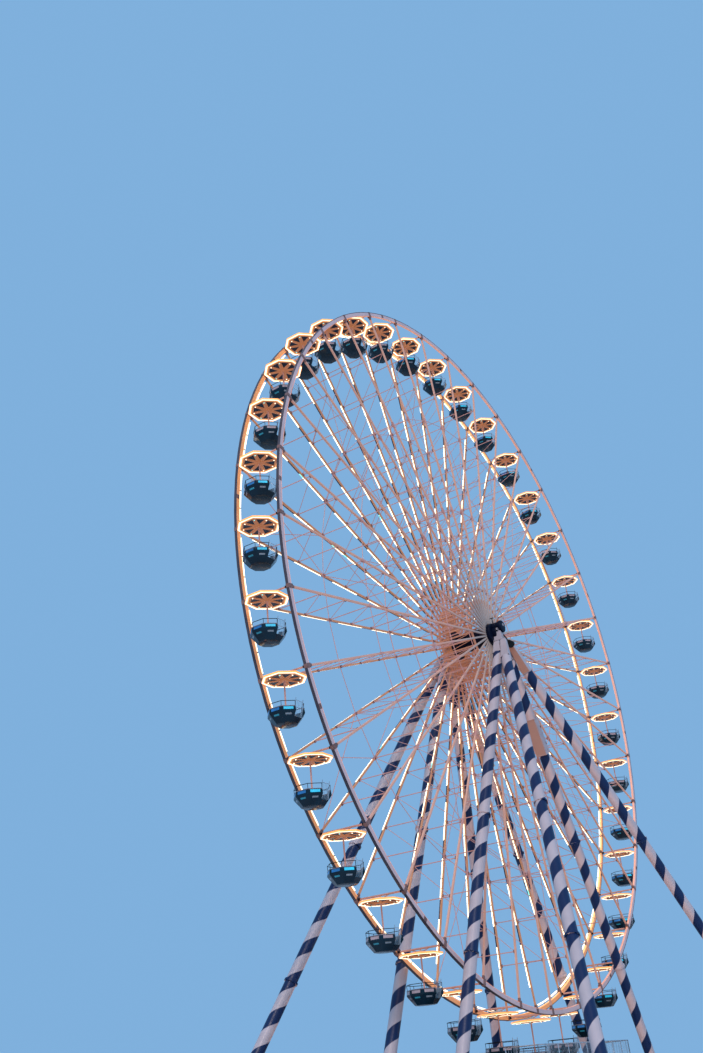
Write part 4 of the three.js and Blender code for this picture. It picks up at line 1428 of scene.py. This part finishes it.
# %% Legs with bolted flanges
LEG_RADIUS, LEG_SIDES = 0.32, 40
FOOT_TOP = 0.75
LEG_FLANGE_SHARES, LEG_FLANGE_RADIUS = (0.45, 0.75), 0.385
LEG_BOLTS, LEG_BOLT_CIRCLE = 12, 0.355
FOOT_SINK = 0.2
STRIPE_STARTS = {"frame_leg_left": 0.478, "frame_leg_right": 0.86, "outrigger_left": 0.343,
                 "outrigger_right": 0.62}


def wrap_leg(mesh, foot, foot_drop, direction, start):
    """Maps the leg: across is the share of a turn round it, up is the real drop below the axle."""
    across = direction.cross(X_AXIS).normalized()
    forward = across.cross(direction).normalized()
    surface = mesh.uv_layers.new(name="leg_map")
    for polygon in mesh.polygons:
        middle = polygon.center - foot
        middle_turn = math.atan2(middle.dot(across), middle.dot(forward))
        for loop in polygon.loop_indices:
            place = mesh.vertices[mesh.loops[loop].vertex_index].co - foot
            turn = math.atan2(place.dot(across), place.dot(forward))
            turn += FULL_TURN * round((middle_turn - turn) / FULL_TURN)
            drop = foot_drop - place.dot(direction) * direction.z / MODEL_SCALE
            surface.data[loop].uv = (turn / FULL_TURN + start, drop)


def add_leg_flange(shape, middle, down):
    """A bolted pair of round flanges where two lengths of a leg meet."""
    for near, far in ((-0.06, -0.004), (0.0, 0.055)):
        add_tube(shape, middle + down * near, middle + down * far, LEG_FLANGE_RADIUS, LEG_SIDES)
    across = down.orthogonal().normalized()
    for index in range(LEG_BOLTS):
        outward = Matrix.Rotation(index * FULL_TURN / LEG_BOLTS, 3, down) @ across
        add_bolt(shape, middle + outward * LEG_BOLT_CIRCLE + down * 0.05, down, 1, 0.017, 0.03)


def make_leg(side_name, side, leg):
    shape = bmesh.new()
    foot_drop = HUB.z - FOOT_TOP + FOOT_SINK
    top, foot = leg_point(leg, side, ARM_END_DROPS[leg]), leg_point(leg, side, foot_drop)
    down = (foot - top).normalized()
    add_tube(shape, top, foot, LEG_RADIUS, LEG_SIDES)
    for share in LEG_FLANGE_SHARES:
        add_leg_flange(shape, top.lerp(foot, share), down)
    name = f"{side_name}_{leg}_tube"
    mesh = model_mesh(name, shape, HUB)
    shape.free()
    wrap_leg(mesh, (foot + HUB) * MODEL_SCALE, foot_drop, -down, STRIPE_STARTS[leg])
    hang_piece(name, mesh, [leg_paint, bolt_steel], "support", "leg_stripes", f"{side_name}_{leg}")


# %% Feet
BEAM_TOP = 0.451
FOOT_PLATE_HALF, FOOT_PLATE_THICKNESS = 0.6, 0.07
SHOE = [(0.0, 0.07), (0.52, 0.07), (0.52, 0.11), (0.42, 0.13), (0.40, 0.29), (0.0, 0.29)]
SHOE_RIBS, RIB_RISE, RIB_INNER, RIB_OUTER = 8, 0.18, 0.36, 0.56


def make_foot(side_name, side, leg):
    shape, shoe = bmesh.new(), bmesh.new()
    centre = leg_point(leg, side, HUB.z - FOOT_TOP) + HUB
    centre.z = BEAM_TOP
    plate_x, plate_y = around(centre.x, FOOT_PLATE_HALF), around(centre.y, FOOT_PLATE_HALF)
    add_box(shape, plate_x, plate_y, (BEAM_TOP, BEAM_TOP + FOOT_PLATE_THICKNESS), 0, 0.012)
    add_turned(shoe, SHOE, Z_AXIS, 32)
    bmesh.ops.translate(shoe, verts=shoe.verts, vec=centre)
    join_shapes(shape, shoe)
    for index in range(SHOE_RIBS):
        turn = Matrix.Rotation(index * FULL_TURN / SHOE_RIBS, 3, "Z")
        between = Matrix.Rotation((index + 0.5) * FULL_TURN / SHOE_RIBS, 3, "Z")
        outward, rib = turn @ X_AXIS, centre + Z_AXIS * RIB_RISE
        add_bar(shape, rib + outward * RIB_INNER, rib + outward * RIB_OUTER, 0.2, 0.03,
                outward.cross(Z_AXIS), 0, 0.004)
        bolt = centre + Z_AXIS * FOOT_PLATE_THICKNESS + between @ X_AXIS * RIB_OUTER
        add_bolt(shape, bolt, Z_AXIS, 1, 0.035, 0.05)
    make_piece(f"{side_name}_{leg}_foot", shape, [ground_paint, bolt_steel], "support", "ground_steel",
               place=ORIGIN)


for side_name, side in SIDES.items():
    for leg in LEG_SLOPES:
        make_leg(side_name, side, leg)
        make_foot(side_name, side, leg)
print("legs:", piece_faces["near_frame_leg_left_tube"], "faces each")

# %% [markdown]
# ## Ground frame
# The whole ride stands on a steel raft without foundations: two broad side frames under the feet,
# joined by long sills. Each is made of rolled I-beams, which are three bars each, two flanges and a
# web, so a long beam costs few faces. The plates between them carry people who service the ride.

# %% I-beams
BEAM_FLANGE, BEAM_WEB = 0.035, 0.025
plate_steel = steel_paint("service_plate_steel", (0.26, 0.26, 0.27), 0.6, (0.35, 0.6), metal=0.6, cloud=3.0)


def add_i_beam(shape, start, end, width, height):
    """An I-beam whose underside runs from start to end."""
    for low, high, across in ((0, BEAM_FLANGE, width), (BEAM_FLANGE, height - BEAM_FLANGE, BEAM_WEB),
                              (height - BEAM_FLANGE, height, width)):
        lift = Z_AXIS * (low + high) / 2
        add_bar(shape, start + lift, end + lift, across, high - low, Z_AXIS)


# %% Side frames
RAFT_BEAMS, RAFT_BEAM_WIDTH = 5, 0.28
RAFT_CROSS_SPACING, RAFT_CROSS_WIDTH = 1.6, 0.16
SERVICE_PLATE_HALF = 0.7


def make_raft(node_name):
    shape = bmesh.new()
    lowest, highest = node_box(node_name)
    half = RAFT_BEAM_WIDTH / 2
    for x in evenly(lowest.x + half, highest.x - half, RAFT_BEAMS - 1):
        add_i_beam(shape, Vector((x, lowest.y, 0)), Vector((x, highest.y, 0)), RAFT_BEAM_WIDTH, highest.z)
    gaps = round((highest.y - lowest.y) / RAFT_CROSS_SPACING)
    for y in evenly(lowest.y + RAFT_CROSS_WIDTH / 2, highest.y - RAFT_CROSS_WIDTH / 2, gaps):
        add_i_beam(shape, Vector((lowest.x + 0.01, y, 0.04)), Vector((highest.x - 0.01, y, 0.04)),
                   RAFT_CROSS_WIDTH, highest.z - 0.08)
    for leg in LEG_SLOPES:
        for side in SIDES.values():
            foot = leg_point(leg, side, HUB.z - FOOT_TOP)
            if lowest.x < foot.x < highest.x:
                add_box(shape, (lowest.x + 0.02, highest.x - 0.02), around(foot.y, SERVICE_PLATE_HALF),
                        (highest.z - 0.03, highest.z - 0.001), 1, 0.004)
    make_piece(f"{node_name}_frame", shape, [ground_paint, plate_steel], "support", "ground_steel",
               node_name, place=ORIGIN)


for node_name in ("left_raft_beam", "right_raft_beam"):
    make_raft(node_name)
print("raft:", piece_faces["left_raft_beam_frame"], "faces")

# %% Sills
SILL_BEAM_WIDTH, SILL_TIE_SPACING = 0.26, 1.5


def make_sill(node_name):
    shape = bmesh.new()
    lowest, highest = node_box(node_name)
    for y in (lowest.y + SILL_BEAM_WIDTH / 2, highest.y - SILL_BEAM_WIDTH / 2):
        add_i_beam(shape, Vector((lowest.x, y, 0)), Vector((highest.x, y, 0)), SILL_BEAM_WIDTH, highest.z)
    gaps = round((highest.x - lowest.x) / SILL_TIE_SPACING)
    for x in evenly(lowest.x + 0.03, highest.x - 0.03, gaps):
        add_box(shape, around(x, 0.02), (lowest.y + 0.03, highest.y - 0.03), (0.04, highest.z - 0.036))
    for ends in ((lowest.x, lowest.x + 0.04), (highest.x - 0.04, highest.x)):
        add_box(shape, ends, (lowest.y, highest.y), (0, highest.z), 0, 0.004)
    make_piece(f"{node_name}_beams", shape, [ground_paint, bolt_steel], "support", "ground_steel",
               node_name, place=ORIGIN)


for node_name in ("near_outer_sill", "near_inner_sill", "far_inner_sill", "far_outer_sill"):
    make_sill(node_name)

# %% [markdown]
# ## Boarding platform
# Riders step on from a boarded deck that stands on trestles across the inner sills. Each board is
# its own chamfered bar, with a gap to the next one, because the dark lines between boards are what
# makes a deck read as wood. Railings guard its long sides and the corners beside the steps.

# %% Worn boards
BOARD_WIDTH, BOARD_GAP, BOARD_THICKNESS = 0.2, 0.012, 0.06


def scaled_place(tree, scale):
    mapping = node(tree, "ShaderNodeMapping", vector_type="POINT")
    mapping.inputs["Scale"].default_value = scale
    tree.links.new(object_place(tree), mapping.inputs["Vector"])
    return mapping.outputs["Vector"]


def wood_paint():
    """Long grain along the boards, and a tone of its own for each board."""
    material, tree, shader = new_material("worn_deck_boards")
    grain = cloud_noise(tree, scaled_place(tree, (26.0, 1.6, 26.0)), 2.0, 8.0)
    boards = scaled_place(tree, (1 / ((BOARD_WIDTH + BOARD_GAP) * MODEL_SCALE), 0.0, 0.0))
    tone = node(tree, "ShaderNodeTexWhiteNoise", noise_dimensions="3D")
    whole = node(tree, "ShaderNodeVectorMath", operation="FLOOR")
    tree.links.new(boards, whole.inputs[0])
    tree.links.new(whole.outputs["Vector"], tone.inputs["Vector"])
    base = blend(tree, tone.outputs["Value"], (0.23, 0.16, 0.10), (0.36, 0.27, 0.18))
    lined = blend(tree, stretch(tree, grain, 0.4, 0.65), base, (0.13, 0.09, 0.06))
    tree.links.new(lined, shader.inputs["Base Color"])
    tree.links.new(stretch(tree, grain, 0.3, 0.7, 0.6, 0.85), shader.inputs["Roughness"])
    ripple(tree, shader, grain, 0.003)
    return material


deck_wood = wood_paint()

# %% Boarded deck on trestles
TRESTLES, TRESTLE_HALF = 6, 0.05
BEARER_Y, POST_Y, FOOT_BEAM_Y, BRACE_Y = 2.05, 0.7, 2.35, 3.1


def add_trestle(shape, x, reach, foot, head):
    """A head beam, a foot beam, four posts, two braces to the deck's edges and two between posts."""
    add_box(shape, around(x, TRESTLE_HALF), reach, (head - 0.1, head), 1)
    add_box(shape, around(x, TRESTLE_HALF), around(0, FOOT_BEAM_Y), (foot, foot + 0.06), 1)
    for y in (-BEARER_Y, -POST_Y, POST_Y, BEARER_Y):
        add_bar(shape, Vector((x, y, foot)), Vector((x, y, head)), 0.08, 0.08, Y_AXIS, 1)
    for side in (-1, 1):
        brace_foot = Vector((x, side * BEARER_Y, foot + 0.06))
        add_tube(shape, brace_foot, Vector((x, side * BRACE_Y, head - 0.04)), 0.03, 8, 1)
    for start, end in ((-BEARER_Y, -POST_Y), (POST_Y, BEARER_Y)):
        add_tube(shape, Vector((x, start, foot + 0.05)), Vector((x, end, head - 0.05)), 0.018, 6, 1)


def make_deck():
    shape = bmesh.new()
    lowest, highest = node_box("boarding_platform")
    top, length = highest.z, highest.x - lowest.x
    count = int(length / (BOARD_WIDTH + BOARD_GAP))
    pitch = length / count
    for x in evenly(lowest.x + pitch / 2, highest.x - pitch / 2, count - 1):
        add_box(shape, around(x, (pitch - BOARD_GAP) / 2), (lowest.y + 0.02, highest.y - 0.02),
                (top - BOARD_THICKNESS, top), 0, 0.006)
    under = top - BOARD_THICKNESS - 0.05
    for y in (lowest.y + 0.04, -BEARER_Y, 0.0, BEARER_Y, highest.y - 0.04):
        add_bar(shape, Vector((lowest.x, y, under)), Vector((highest.x, y, under)), 0.07, 0.099, Z_AXIS, 1)
    for x in evenly(lowest.x + 0.06, highest.x - 0.06, TRESTLES - 1):
        add_trestle(shape, x, (lowest.y, highest.y), BEAM_TOP, top - 0.161)
    make_piece("boarded_deck", shape, [deck_wood, ground_paint], "support", "deck_board",
               "boarding_platform", place=ORIGIN)


make_deck()
print("deck:", piece_faces["boarded_deck"], "faces")

# %% Deck railings
RAIL_HEIGHT, LOW_RAIL_HEIGHT = 1.05, 0.15
POST_SPACING, PICKET_SPACING = 1.25, 0.16
STEPS_HALF_WIDTH = 1.3


def add_railing(shape, start, end):
    """Posts, two rails and thin pickets along a straight edge of the deck."""
    length = (end - start).length
    posts, pickets = (max(1, round(length / spacing)) for spacing in (POST_SPACING, PICKET_SPACING))
    low, high = Z_AXIS * LOW_RAIL_HEIGHT, Z_AXIS * RAIL_HEIGHT
    for share in evenly(0, 1, posts):
        foot = start.lerp(end, share)
        add_tube(shape, foot, foot + high, 0.028, 8)
    for rise, radius in ((high, 0.03), (low, 0.018)):
        add_tube(shape, start + rise, end + rise, radius, 8)
    for share in evenly(0, 1, pickets)[1:-1]:
        foot = start.lerp(end, share)
        add_tube(shape, foot + low, foot + high, 0.009, 5)


def make_railings():
    shape = bmesh.new()
    lowest, highest = node_box("boarding_platform")
    left, right, top = lowest.x + 0.06, highest.x - 0.06, highest.z - 0.001
    for y in (lowest.y + 0.06, highest.y - 0.06):
        add_railing(shape, Vector((left, y, top)), Vector((right, y, top)))
        for x in (left, right):
            gap = math.copysign(STEPS_HALF_WIDTH, y)
            add_railing(shape, Vector((x, y, top)), Vector((x, gap, top)))
    make_piece("deck_railings", shape, [rail_steel], "support", "rail_steel", place=ORIGIN)


make_railings()

# %% [markdown]
# ## Steps
# Broad steps lead up at both ends. A stepped block would do from far away, but daylight shows
# through real ones, so each flight has two leaning stringers, boarded treads and two handrails.

# %% Two flights of steps
STEP_COUNT = 7
TREAD_THICKNESS, TREAD_SETBACK, STRINGER_SETBACK = 0.05, 0.07, 0.035
HANDRAIL_HEIGHT = 0.95


def add_flight_side(shape, foot, head):
    """A stringer with its prop on the ground, four posts, a handrail and two thin rails."""
    add_bar(shape, foot, head, 0.06, 0.22, Z_AXIS, 1, 0.006)
    add_bar(shape, Vector((foot.x, foot.y, 0.001)), foot, 0.08, 0.08, X_AXIS, 1)
    lift = Z_AXIS * HANDRAIL_HEIGHT
    add_tube(shape, foot + lift, head + lift, 0.028, 8, 2)
    for share in (0.0, 0.33, 0.67, 1.0):
        post = foot.lerp(head, share)
        add_tube(shape, post, post + lift, 0.024, 8, 2)
    for share in (0.35, 0.65):
        add_tube(shape, foot + lift * share, head + lift * share, 0.014, 6, 2)


def make_flight(node_name, direction):
    shape = bmesh.new()
    lowest, highest = node_box(node_name)
    inner, outer = (highest.x, lowest.x) if direction < 0 else (lowest.x, highest.x)
    going, rise = (outer - inner) / STEP_COUNT, highest.z / STEP_COUNT
    tread_ends = around(0, highest.y - TREAD_SETBACK)
    for index in range(STEP_COUNT):
        nose, top = outer - going * index, rise * (index + 1)
        under = top - TREAD_THICKNESS
        add_box(shape, (nose, nose - going), tread_ends, (under, top), 0, 0.008)
        add_box(shape, (nose - going * 0.04, nose - going * 0.14), tread_ends, (top - rise, under), 1)
    for y in around(0, highest.y - STRINGER_SETBACK):
        foot = Vector((outer - going * 0.5, y, rise * 0.56))
        add_flight_side(shape, foot, Vector((inner + going * 0.1, y, highest.z - rise * 0.1)))
    make_piece(f"{node_name}_flight", shape, [deck_wood, ground_paint, rail_steel], "support",
               "deck_board", node_name, place=ORIGIN)


make_flight("entrance_steps", -1)
make_flight("exit_steps", 1)
print("steps:", piece_faces["entrance_steps_flight"], "faces each")

# %% Count the pieces and their faces
print("pieces:", len(piece_faces), "faces:", sum(piece_faces.values()))
